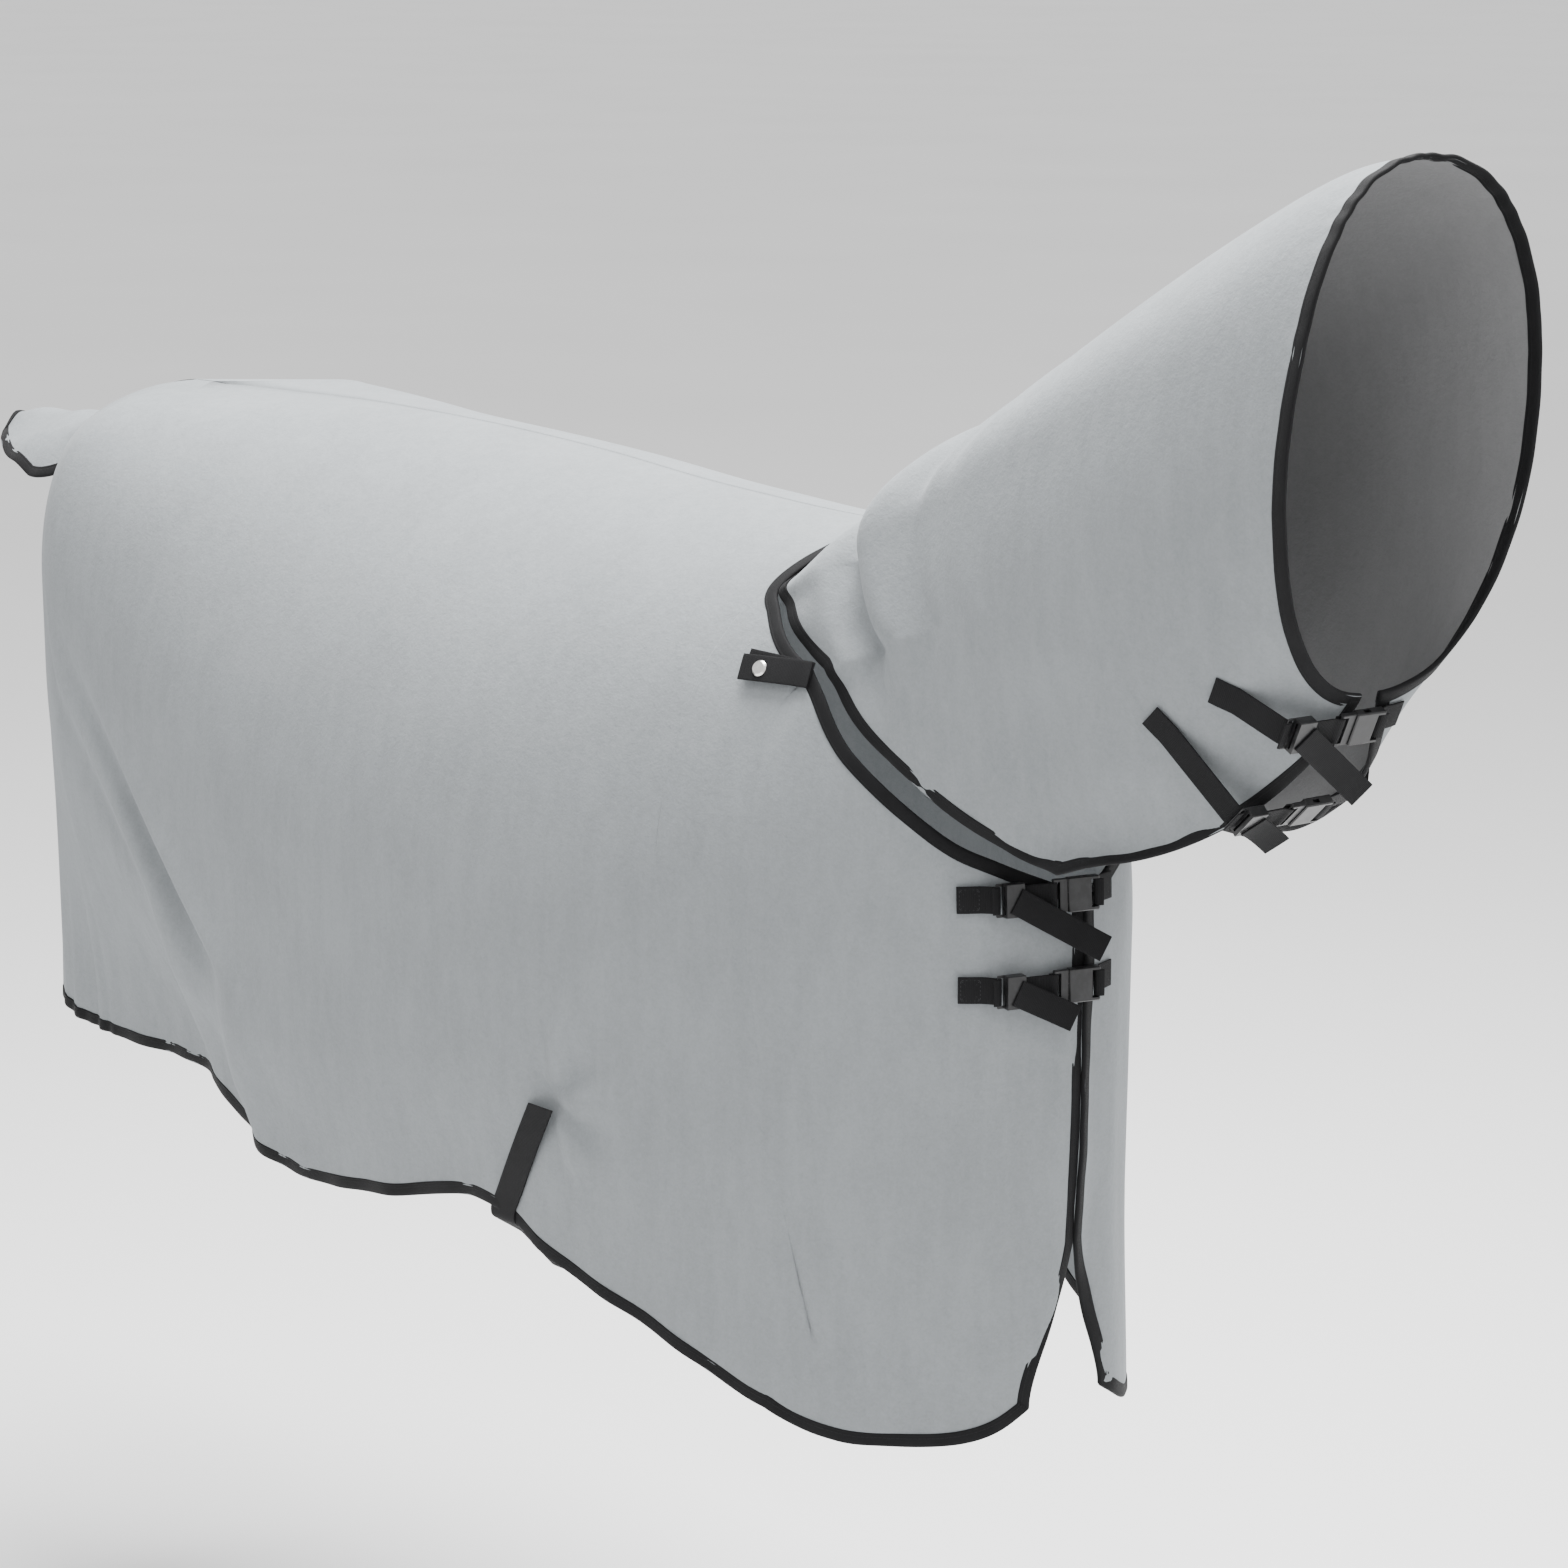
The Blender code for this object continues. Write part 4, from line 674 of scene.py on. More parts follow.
@dataclass(frozen=True)
class BodyDrape:
    """One half of the body sheet as a surface of (along, down), with its folds."""

    form: HorseForm
    side: Side
    withers_share: float = 0.30
    tail_notch: float = 0.030
    corner_turn: float = 15.0
    guide_reach: float = 0.15
    guide_girth: float = 0.05
    guide_turn: float = 0.70
    seam_half_gap: float = 0.0006
    strap_station: float = 111.5
    strap_z: float = -0.560
    thigh_fold: tuple[tuple[float, float], ...] = (
        (0.0, 192.0), (0.505, 185.5), (0.585, 176.2), (0.655, 166.8), (0.730, 158.6),
        (0.820, 157.4), (0.907, 158.5), (1.0, 156.5))
    thigh_ridges: tuple[tuple[float, float, float], ...] = (
        (0.0100, -0.016, 0.046), (-0.0150, 0.056, 0.048),
        (0.0060, 0.124, 0.034), (-0.0070, 0.185, 0.044))

    def params(self, along: Points, down: Points) -> tuple[Points, Points]:
        """Station and girth of a place on the sheet.

        Lines down the sheet start on the neckline or the spine. Those near the withers
        leave squarely: they are quadratic curves through a guide point behind the
        neckline. The others run straight in station and girth to the hem.

        Args:
            along: 0 at the front edge, 1 at the rear edge.
            down: 0 at the neckline or spine, 1 at the hem.

        Returns:
            Station and girth.
        """
        form = self.form
        along, down = np.broadcast_arrays(np.asarray(along, float), np.asarray(down, float))
        in_neck = along <= self.withers_share
        share = np.minimum(along / self.withers_share, 1.0)
        spine = 90.5 + np.clip((along - self.withers_share) / (1.0 - self.withers_share), 0, 1) * 110.0
        over_rump = np.clip((spine - 190.0) / 10.5, 0.0, 1.0)
        neck_station, neck_girth = form.neckline(share)
        top_station = np.where(in_neck, neck_station, np.where(spine < 190.0, spine, 280.0))
        top_girth = np.where(in_neck & (share < 0.999), neck_girth, self.tail_notch * over_rump)
        hem_station = spline(along, HEM_STATIONS)[..., 0]
        corner = self.corner_turn * ease((down - 0.72) / 0.28) * (1.0 - ease(along / 0.14))
        early = ease((along - 0.80) / 0.20)
        share_down = down * (1.0 - early) + ease(down / 0.30) * early
        run_top, run_hem = form.run_of(top_station), form.run_of(hem_station)
        plain_run = run_top + (run_hem - run_top) * share_down
        plain_girth = top_girth + (1.0 - top_girth) * down
        ahead_station, ahead_girth = form.neckline_offset(np.minimum(share, self.guide_turn),
                                                          self.guide_reach)
        turned = np.clip((share - self.guide_turn) / (1.0 - self.guide_turn), 0.0, 1.0)
        fade = ease((along - self.withers_share) / 0.14)
        last_run = form.run_of(90.5) + self.guide_reach
        guide_run = np.where(in_neck, form.run_of(ahead_station) * (1.0 - turned) + last_run * turned,
                             form.run_of(spine) + self.guide_reach * (1.0 - fade))
        guide_girth = np.where(in_neck, ahead_girth * (1.0 - turned) + self.guide_girth * turned,
                               self.guide_girth + (0.5 - self.guide_girth) * fade)
        first, second, third = (1 - down) ** 2, 2 * down * (1 - down), down**2
        bent_run = first * run_top + second * guide_run + third * run_hem
        bent_girth = first * top_girth + second * guide_girth + third
        bend = np.where(in_neck, ease(share / 0.45), 1.0 - ease((along - 0.34) / 0.14))
        station = form.station_of(bent_run * bend + plain_run * (1.0 - bend)) + corner
        return station, bent_girth * bend + plain_girth * (1.0 - bend)

    def relief(self, station: Points, girth: Points, place: Points) -> Points:
        """How far the cloth stands off the form, outwards.

        A sum of named folds: a slow swell, flutes that grow towards the hem, the pinch and
        dimples where the belly strap is sewn, a long crest with a hollow and a second
        crest behind the thigh, and soft folds down the front edge.

        Args:
            station: Station of each point.
            girth: Girth share of each point.
            place: Position of each point on the form.

        Returns:
            Distance outwards for each point.
        """
        seed = 0.7 if self.side is Side.RIGHT else 4.2
        x, z, run = place[..., 0], place[..., 2], self.form.run_of(station)
        swell = 0.0026 * np.sin(5.3 * x + seed) * np.sin(6.1 * z + 1.3 * seed) * ease(girth / 0.12)
        flutes = 0.0034 * ease((girth - 0.74) / 0.26) * wobble(run + 0.04 * z, seed)
        front = ease((34.0 - station) / 30.0) * ease((girth - 0.50) / 0.12)
        front_folds = 0.0040 * front * np.sin(run * 92.0 + 3.0 * z + seed)
        return swell + flutes + self.strap_pinch(run, z) + self.thigh_folds(run, girth) + front_folds

    def strap_pinch(self, run: Points, z: Points) -> Points:
        """Hollow at the belly strap's stitching, with short rays of cloth ahead of it."""
        off, up = run - self.form.run_of(self.strap_station), z - self.strap_z
        pinch = -0.0090 * bell(np.hypot(off, up * 0.6), 0.020)
        rays = 0.0065 * np.sin(np.arctan2(up, -off + 1e-6) * 6.0 + 0.8)
        return pinch + rays * bell(np.hypot(off, up) - 0.055, 0.034) * ease(-off / 0.018)

    def thigh_folds(self, run: Points, girth: Points) -> Points:
        """Crests and hollows that run down behind the thigh, starting at the widest height."""
        fold = run - self.form.run_of(spline(girth, self.thigh_fold)[..., 0])
        return ridges(fold, self.thigh_ridges) * ease((girth - 0.46) / 0.26)

    def surface(self, along: Points, down: Points) -> Points:
        """Point of the draped cloth: the form's point moved out by the relief."""
        station, girth = self.params(along, down)
        place = self.form.point(station, girth, self.side.value)
        lift = self.relief(station, girth, place)
        place = place + self.form.normal(station, girth, self.side.value) * lift[..., None]
        sign = self.side.value
        place[..., 1] = sign * np.maximum(sign * place[..., 1], self.seam_half_gap)
        return place


@dataclass(frozen=True)
class NeckDrape:
    """The whole neck cover as a surface of (ahead, round), with its folds."""

    form: HorseForm
    base_share: float = 0.86
    clearance: float = 0.004
    inset: float = 0.014
    corner: tuple[float, float, float] = (0.338, 0.120, -0.268)
    face_top: tuple[float, float] = (0.638, 0.366)
    face_bottom: tuple[float, float] = (0.592, -0.085)
    face_half_width: float = 0.136
    face_yaw: float = 0.12
    throat_half_gap: float = 0.010
    base_ridges: tuple[tuple[float, float, float], ...] = (
        (-0.0230, 0.0, 0.026), (0.0120, 0.070, 0.034), (-0.0070, 0.135, 0.020),
        (0.0040, -0.045, 0.018))

    def base(self, around: Points, side: int) -> Points:
        """Base edge: the neckline drawn inwards, and pulled to the chest corner."""
        around = np.asarray(around, float)
        point = self.form.point(*self.form.neckline(1.0 - around * self.base_share), side)
        inward = unit(np.array(self.form.neck_hole) - point)
        inset = self.clearance + (self.inset - self.clearance) * ease((around - 0.30) / 0.20)
        point = point + inward * inset[..., None]
        corner = np.array(self.corner) * np.array([1.0, side, 1.0])
        pull = (np.clip((around - 0.62) / 0.38, 0.0, 1.0) ** 2)[..., None]
        return point * (1.0 - pull) + corner * pull

    def face(self, around: Points, side: int) -> Points:
        """Face edge: an upright oval, open a little at the throat."""
        end = math.pi - math.asin(self.throat_half_gap / self.face_half_width)
        angle = np.asarray(around, float) * end
        share = 0.5 - 0.5 * np.cos(angle)
        x = self.face_top[0] + (self.face_bottom[0] - self.face_top[0]) * share + 0.02 * np.sin(angle)
        z = self.face_top[1] + (self.face_bottom[1] - self.face_top[1]) * share
        return np.stack([x, side * self.face_half_width * np.sin(angle) ** 0.85, z], -1)

    def bare(self, ahead: Points, around: Points, side: int) -> Points:
        """Smooth surface of one half: a blend of its four edges, turned a little at the face."""
        ahead, around = np.broadcast_arrays(np.asarray(ahead, float), np.asarray(around, float))
        crest = spline(ahead, CREST)
        throat = spline(ahead, THROAT) * np.array([1.0, side, 1.0])
        corners = [self.base(0.0, side), self.base(1.0, side),
                   self.face(0.0, side), self.face(1.0, side)]
        s, q = ahead[..., None], around[..., None]
        flat = ((1 - s) * (1 - q) * corners[0] + (1 - s) * q * corners[1]
                + s * (1 - q) * corners[2] + s * q * corners[3])
        point = ((1 - s) * self.base(around, side) + s * self.face(around, side)
                 + (1 - q) * crest + q * throat - flat)
        point[..., 0] += self.face_yaw * point[..., 1] * ahead**2
        return point

    def relief(self, ahead: Points, signed: Points) -> Points:
        """How far the neck cloth stands off its smooth surface, outwards.

        The base is bunched in rolls beside the withers, a long fold sweeps along the
        throat, short creases gather beside it and the face edge puckers. The cloth lies
        flat under the jaw straps.

        Args:
            ahead: 0 at the base, 1 at the face.
            signed: -1 at the right throat edge, 0 on the crest, 1 at the left.

        Returns:
            Distance outwards.
        """
        round_ = np.abs(signed)
        creases = 0.0030 * np.sin(ahead * 70.0 + round_ * 40.0) * bell(round_ - 0.93, 0.05)
        creases = creases * bell(ahead - 0.78, 0.10)
        swell = 0.0024 * np.sin(ahead * 6.5 + 1.0) * np.sin(round_ * 7.0 + 0.6) * ease(ahead / 0.1)
        under_straps = 1.0 - ease((ahead - 0.46) / 0.10) * ease((round_ - 0.42) / 0.12)
        loose = self.base_rolls(ahead, signed) + self.throat_sweep(ahead, round_) + creases + swell
        pucker = 0.0007 * np.sin(round_ * 120.0 + 1.5 * np.sin(round_ * 31.0))
        pucker = pucker * ease((ahead - 0.93) / 0.06) * bell(round_, 0.33)
        base_wave = 0.0016 * np.sin(round_ * 47.0) * bell(ahead, 0.05)
        return loose * under_straps + pucker + base_wave

    def base_rolls(self, ahead: Points, signed: Points) -> Points:
        """Rolls and hollows round the base, deepest at the crest and gone at the throat."""
        round_ = np.abs(signed)
        line = 0.085 + 0.035 * np.sin(4.5 * round_ + 0.4)
        right = ease(-signed / 0.10)
        ripples = 0.0020 * np.sin(ahead * 83.0 + 9.0 * round_ + 2.0 * right) * ease(ahead / 0.08)
        loose = ease((0.74 - round_) / 0.25) * (1.0 - ease((ahead - 0.26) / 0.16))
        return loose * (ridges(ahead - line, self.base_ridges) + ripples)

    @staticmethod
    def throat_sweep(ahead: Points, round_: Points) -> Points:
        """Long fold along the throat edge with a hollow above it."""
        line = 0.86 - 0.20 * (ahead - 0.2) + 0.10 * ahead**2
        fold = 0.0080 * bell(round_ - line, 0.045) * ease((ahead - 0.10) / 0.25)
        hollow = -0.0055 * bell(round_ - line + 0.095, 0.05) * ease((ahead - 0.12) / 0.25)
        return (fold * (1.0 - ease((ahead - 0.82) / 0.12))
                + hollow * (1.0 - ease((ahead - 0.80) / 0.12)))

    def surface(self, ahead: Points, signed: Points) -> Points:
        """Point of the neck cloth for a signed way round.

        Args:
            ahead: 0 at the base, 1 at the face.
            signed: -1 at the right throat edge, 0 on the crest, 1 at the left.

        Returns:
            Positions.
        """
        ahead, signed = np.broadcast_arrays(np.asarray(ahead, float), np.asarray(signed, float))
        flat = self.either(ahead, signed)
        step = 0.004
        low, high = np.clip(ahead - step, 0, 1), np.clip(ahead + step, 0, 1)
        left, right = np.clip(signed - step, -1, 1), np.clip(signed + step, -1, 1)
        forward = self.either(high, signed) - self.either(low, signed)
        across = self.either(ahead, right) - self.either(ahead, left)
        normal = unit(np.cross(forward, across))
        return flat + normal * self.relief(ahead, signed)[..., None]

    def either(self, ahead: Points, signed: Points) -> Points:
        """Smooth surface for a signed way round."""
        round_ = np.abs(signed)
        right = self.bare(ahead, round_, -1)
        left = self.bare(ahead, round_, 1)
        return np.where((signed < 0.0)[..., None], right, left)


@dataclass(frozen=True)
class FlapDrape:
    """The tail flap as a surface of (back, across)."""

    root_x: float = -1.195
    tip_x: float = -1.600
    half_width: float = 0.082
    neck: float = 0.046
    root_z: float = 0.0050

    def surface(self, back: Points, across: Points) -> Points:
        """Point of the flap.

        Width grows past the panels and rounds off at the tip; the sides droop with the
        square of the way across, and two soft waves run down its length.

        Args:
            back: 0 at the root, 1 at the tip.
            across: -1 to 1.

        Returns:
            Positions.
        """
        back, across = np.broadcast_arrays(np.asarray(back, float), np.asarray(across, float))
        x = self.root_x + (self.tip_x - self.root_x) * back
        tip = np.clip((back - 0.62) / 0.38, 0.0, 1.0)
        spread = self.neck + (self.half_width - self.neck) * ease((back - 0.38) / 0.20)
        half = spread * (1.0 - tip**2 * 0.72)
        droop = (0.012 + 0.054 * ease((back - 0.2) / 0.35)) * (1.0 - tip * 0.75)
        z = self.root_z - 0.030 * ease(back / 0.30) - 0.040 * back - droop * across**2
        free = ease((back - 0.38) / 0.2)
        wide_wave = 0.0035 * np.sin(across * 5.0 + back * 9.0)
        short_wave = 0.0020 * np.sin(back * 31.0 + across)
        z = z + free * (wide_wave + short_wave)
        return np.stack([x, half * across, z], -1)


# ------------------------------------------------------------------ cloth pieces
BINDING_PROFILE = np.array([
    (0.0119, 0.00160), (0.0116, 0.00215), (0.0100, 0.00225), (0.0092, 0.00205), (0.0080, 0.00235),
    (0.0040, 0.00245), (0.0010, 0.00235), (-0.0006, 0.00180), (-0.0012, 0.00070),
    (-0.0012, -0.00070), (-0.0006, -0.00180), (0.0010, -0.00235), (0.0040, -0.00245),
    (0.0080, -0.00235), (0.0092, -0.00205), (0.0100, -0.00225), (0.0116, -0.00215), (0.0119, -0.00160),
])


@dataclass
class Binding:
    """Woven tape folded over a cloth edge and stitched through."""

    wardrobe: Wardrobe
    width: float = 0.0120
    spacing: float = 0.0030
    waver: float = 0.0004

    def build(self, name: str, surface: Callable[[Points, Points], Points], edge: Points,
              inside: Points, seed: float) -> bpy.types.Object:
        """Carry the tape's profile along a cloth edge.

        Args:
            name: Object name.
            surface: The cloth's surface of two parameters.
            edge: (n, 2) parameters of the edge, in order.
            inside: (n, 2) parameters a short way in from the edge.
            seed: Sets the slight waver of the tape.

        Returns:
            The tape.
        """
        outer = surface(edge[:, 0], edge[:, 1])
        inner = surface(inside[:, 0], inside[:, 1])
        run = run_length(outer)
        keep = np.concatenate([[True], np.diff(run) > 1e-6])
        outer, inner, run = outer[keep], inner[keep], run[keep]
        count = int(run[-1] / self.spacing)
        both = resample(np.hstack([outer, inner]), run, count)
        outer, inner = both[:, :3], both[:, 3:]
        run = run_length(outer)
        ahead = unit(np.gradient(outer, axis=0))
        inward = inner - outer
        inward = inward - ahead * np.sum(inward * ahead, -1, keepdims=True)
        inward = self.smooth(unit(inward), 2)
        normal = unit(np.cross(ahead, inward))
        inward = unit(np.cross(normal, ahead))
        drift = wobble(run * 1.7, seed)[:, None] * self.waver
        path = outer + normal * drift
        tape = swept_profile(name, path, inward, normal, BINDING_PROFILE)
        tape.data.materials.append(self.wardrobe.binding)
        return tape

    @staticmethod
    def smooth(vectors: Points, reach: int) -> Points:
        """Average each vector with its neighbours on both sides."""
        padded = np.vstack([vectors[:1]] * reach + [vectors] + [vectors[-1:]] * reach)
        total = sum(padded[k:k + len(vectors)] for k in range(2 * reach + 1))
        return unit(total)


@dataclass
class BodySheet:
    """Both halves of the body sheet with their tapes."""

    wardrobe: Wardrobe
    form: HorseForm
    neck_columns: int = 66
    back_columns: int = 186
    rows: int = 138
    step: float = 0.010

    def build(self) -> list[bpy.types.Object]:
        """Build the halves, their hem and edge tapes and the neckline tapes.

        Returns:
            Every piece made.
        """
        pieces = []
        for side in Side:
            drape = BodyDrape(self.form, side)
            tapes = [self.edge_tape(drape), self.neckline_tape(drape)]
            cloth = self.cloth(drape)
            f"hem_binding_{side.word}"
            pieces += [cloth, *tapes]
            LOG.info("body half %s", side.word)
        return pieces

    def cloth(self, drape: BodyDrape) -> bpy.types.Object:
        """One half: the drape's surface on a grid, finer where the neckline bends."""
        split = drape.withers_share
        along = np.concatenate([np.linspace(0.0, split, self.neck_columns),
                                np.linspace(split, 1.0, self.back_columns + 1)[1:]])
        down = np.linspace(0.0, 1.0, self.rows)
        grid = drape.surface(along[:, None], down[None, :])
        uv = np.stack(np.broadcast_arrays(along[:, None] * 1.6, down[None, :] * 0.9), -1)
        outward = np.array([0.0, drape.side.value, 0.0])
        thing = sheet_object(f"body_sheet_{drape.side.word}", grid, outward, CLOTH_THICK, uv)
        thing.data.materials.append(self.wardrobe.fleece)
        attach(thing, "rug")
        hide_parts(f"body_panel_{drape.side.word}")
        return thing

    def edge_tape(self, drape: BodyDrape) -> bpy.types.Object:
        """Tape down the front edge, along the hem and up the rear edge of one half."""
        t = np.linspace(0.0, 1.0, 240)[:, None]
        h = np.linspace(0.0, 1.0, 900)[:, None]
        low, high = self.step, 1.0 - self.step
        edge = np.vstack([
            np.hstack([0 * t, t]),
            np.hstack([h, 0 * h + 1.0]),
            np.hstack([0 * t + 1.0, 1.0 - t])])
        inside = np.vstack([
            np.hstack([0 * t + low, np.minimum(t, high)]),
            np.hstack([np.clip(h, low, high), 0 * h + high]),
            np.hstack([0 * t + high, np.minimum(1.0 - t, high)])])
        name = f"hem_binding_{drape.side.word}"
        tape = Binding(self.wardrobe).build(name, drape.surface, edge, inside, 1.3 + drape.side.value)
        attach(tape, "rug")
        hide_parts(f"body_edge_tape_{drape.side.word}")
        return tape

    def neckline_tape(self, drape: BodyDrape) -> bpy.types.Object:
        """Tape along one half of the neckline, from the front edge to the withers."""
        u = np.linspace(0.006, drape.withers_share - 1e-4, 420)[:, None]
        edge = np.hstack([u, 0 * u])
        inside = np.hstack([u, 0 * u + self.step])
        tape = Binding(self.wardrobe).build(f"neckline_binding_{drape.side.word}", drape.surface, edge,
                                            inside, 2.1 + drape.side.value)
        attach(tape, "rug")
        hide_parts(f"neckline_tape_{drape.side.word}")
        return tape


@dataclass
class NeckCover:
    """The neck cover: one wrapped sheet whose inner face is a darker copy of the fleece as painted shade,
    and its tapes.
    """

    wardrobe: Wardrobe
    form: HorseForm
    columns: int = 132
    rows: int = 300
    step: float = 0.014

    def build(self) -> list[bpy.types.Object]:
        """Build the cloth, the tape round base and throat, and the face tape.

        Returns:
            Every piece made.
        """
        drape = NeckDrape(self.form)
        tapes = [self.base_tape(drape), self.face_tape(drape)]
        cloth = self.cloth(drape)
        LOG.info("neck cover")
        return [cloth, *tapes]

    def cloth(self, drape: NeckDrape) -> bpy.types.Object:
        """The wrapped sheet; Solidify gives its inner face the darker copy of the fleece, painted shade
        for the inside of the neck.
        """
        ahead = np.linspace(0.0, 1.0, self.columns)
        around = np.linspace(-1.0, 1.0, self.rows)
        grid = drape.surface(ahead[:, None], around[None, :])
        uv = np.stack(np.broadcast_arrays(ahead[:, None] * 0.7, around[None, :] * 0.55), -1)
        thing = sheet_object("neck_sheet", grid, np.array([0.0, 0.0, 1.0]), CLOTH_THICK, uv)
        thing.data.materials.append(self.wardrobe.fleece)
        # Second slot: the painted-shade copy of the fleece for the inner face.
        thing.data.materials.append(self.wardrobe.painted_shade_lining)
        thing.modifiers["thickness"].material_offset = 1
        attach(thing, "neck_cover")
        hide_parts("neck_panel_right", "neck_panel_left")
        return thing

    def base_tape(self, drape: NeckDrape) -> bpy.types.Object:
        """Tape down the right throat edge, round the base and up the left throat edge."""
        t = np.linspace(0.0, 1.0, 260)[:, None]
        b = np.linspace(-1.0, 1.0, 700)[:, None]
        low, high = self.step, 1.0 - self.step
        top = 0.985
        edge = np.vstack([np.hstack([(1.0 - t) * top, 0 * t - 1.0]), np.hstack([0 * b, b]),
                          np.hstack([t * top, 0 * t + 1.0])])
        inside = np.vstack([np.hstack([np.clip((1.0 - t) * top, low, 1.0), 0 * t - high]),
                            np.hstack([0 * b + low * 1.3, np.clip(b, -high, high)]),
                            np.hstack([np.clip(t * top, low, 1.0), 0 * t + high])])
        tape = Binding(self.wardrobe).build("base_binding", drape.surface, edge, inside, 3.7)
        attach(tape, "neck_cover")
        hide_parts("neck_edge_tape_right", "neck_edge_tape_left")
        return tape

    def face_tape(self, drape: NeckDrape) -> bpy.types.Object:
        """Tape round the face opening, from one throat end to the other."""
        b = np.linspace(-1.0, 1.0, 700)[:, None]
        edge = np.hstack([0 * b + 1.0, b])
        inside = np.hstack([0 * b + 1.0 - self.step, b])
        tape = Binding(self.wardrobe).build("face_binding", drape.surface, edge, inside, 5.2)
        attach(tape, "neck_cover")
        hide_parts("face_tape_right", "face_tape_left")
        return tape


@dataclass
class TailFlap:
    """The flap over the dock, with tape round its free edge."""

    wardrobe: Wardrobe
    columns: int = 110
    rows: int = 46

    def build(self) -> list[bpy.types.Object]:
        """Build the flap and its tape.

        Returns:
            Both pieces.
        """
        drape = FlapDrape()
        back = np.linspace(0.0, 1.0, self.columns)
        across = np.linspace(-1.0, 1.0, self.rows)
        grid = drape.surface(back[:, None], across[None, :])
        uv = np.stack(np.broadcast_arrays(back[:, None] * 0.42, across[None, :] * 0.09), -1)
        cloth = sheet_object("tail_sheet", grid, np.array([0.0, 0.0, 1.0]), CLOTH_THICK, uv)
        cloth.data.materials.append(self.wardrobe.fleece)
        t = np.linspace(0.0, 1.0, 200)[:, None]
        edge = np.vstack([np.hstack([t, 0 * t - 1.0]), np.hstack([0 * t + 1.0, 2.0 * t - 1.0]),
                          np.hstack([1.0 - t, 0 * t + 1.0])])
        inside = np.vstack([np.hstack([np.minimum(t, 0.97), 0 * t - 0.86]),
                            np.hstack([0 * t + 0.97, np.clip(2.0 * t - 1.0, -0.86, 0.86)]),
                            np.hstack([np.minimum(1.0 - t, 0.97), 0 * t + 0.86])])
        tape = Binding(self.wardrobe).build("tail_binding", drape.surface, edge, inside, 6.6)
        for piece, node in ((cloth, "tail_flap"), (tape, "tail_flap_tape")):
            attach(piece, "tail_flap")
            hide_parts(node)
        LOG.info("tail flap")
        return [cloth, tape]


# ------------------------------------------------------------------ straps
@dataclass(frozen=True)
class StrapFrame:
    """Local axes of a strap: a along it, w across it and o outwards."""

    origin: Points
    along: Points
    outward: Points

    @classmethod
    def square(cls, origin: Points, along: Points, outward: Points) -> "StrapFrame":
        """Make the axes square to each other."""
        along = unit(np.asarray(along, float))
        outward = np.asarray(outward, float)
        outward = unit(outward - along * float(outward @ along))
        return cls(np.asarray(origin, float), along, outward)

    @property
    def across(self) -> Points:
        """The third axis."""
        return np.cross(self.outward, self.along)

    def world(self, a: Points, w: Points, o: Points) -> Points:
        """World positions of local ones."""
        a, w, o = (np.asarray(v, float)[..., None] for v in np.broadcast_arrays(a, w, o))
        return self.origin + self.along * a + self.across * w + self.outward * o

    def local(self, points: Points) -> tuple[Points, Points]:
        """Local a and o of world points."""
        gap = np.asarray(points, float) - self.origin
        return gap @ self.along, gap @ self.outward


@dataclass(frozen=True)
class StrapPlan:
    """One closing strap: where it is and how its loose tail hangs."""

    name: str
    place: float
    tail_angle: float
    tail_length: float
    far_lift: float
    near_lift: float
    far_start: float


@dataclass
class Hardware:
    """Sizes shared by the sliders, buckles and webbing loops."""

    slider_at: float = -0.075
    slider_half: float = 0.0090
    male_from: float = -0.036
    female_to: float = 0.010
    bar: float = 0.0030
    bar_thick: float = 0.0016
    loop: float = 0.00285
    slider_low: float = -0.0056
    tail_lift: float = 0.0060
    sewn_length: float = 0.022
    near_start: float = 0.100

    @property
    def slider_bar(self) -> tuple[float, float]:
        """Middle of the slider's sewn bar."""
        return self.slider_at - 0.0160 + self.bar / 2.0, self.slider_low + self.bar_thick / 2.0

    @property
    def female_bar(self) -> tuple[float, float]:
        """Middle of the female buckle's bar."""
        return self.female_to - self.bar / 2.0, 0.0

    @property
    def male_bar(self) -> tuple[float, float]:
        """Middle of the male buckle's bar."""
        return self.male_from + self.bar / 2.0, 0.0

    def strap_route(self) -> list:
        """Route of the sliding strap: from inside the slider round the male buckle's bar."""
        route = [(self.slider_at - self.slider_half + 0.002, 0.0), (self.male_from - 0.0060, 0.0),
                 (self.male_from - 0.0015, self.loop * 0.86)]
        route += self.arc(self.male_bar, 90.0, -90.0)
        return route + [(self.male_from - 0.0035, -self.loop)]

    def slider_route(self) -> list:
        """Route of sewn webbing round the slider's bar."""
        bar = self.slider_bar
        return self.arc(bar, -90.0, 90.0) + [(bar[0] - 0.0060, bar[1] + self.loop)]

    def female_route(self) -> list:
        """Route of far webbing round the female buckle's bar."""
        return [(self.female_to + 0.0045, self.loop)] + self.arc(self.female_bar, 90.0, 270.0)

    def arc(self, centre: Sequence[float], start: float, stop: float, count: int = 15) -> list:
        """Points of a webbing loop round a bar, from one angle to another."""
        t = np.radians(np.linspace(start, stop, count))
        return [(centre[0] + self.loop * math.cos(k), centre[1] + self.loop * math.sin(k)) for k in t]


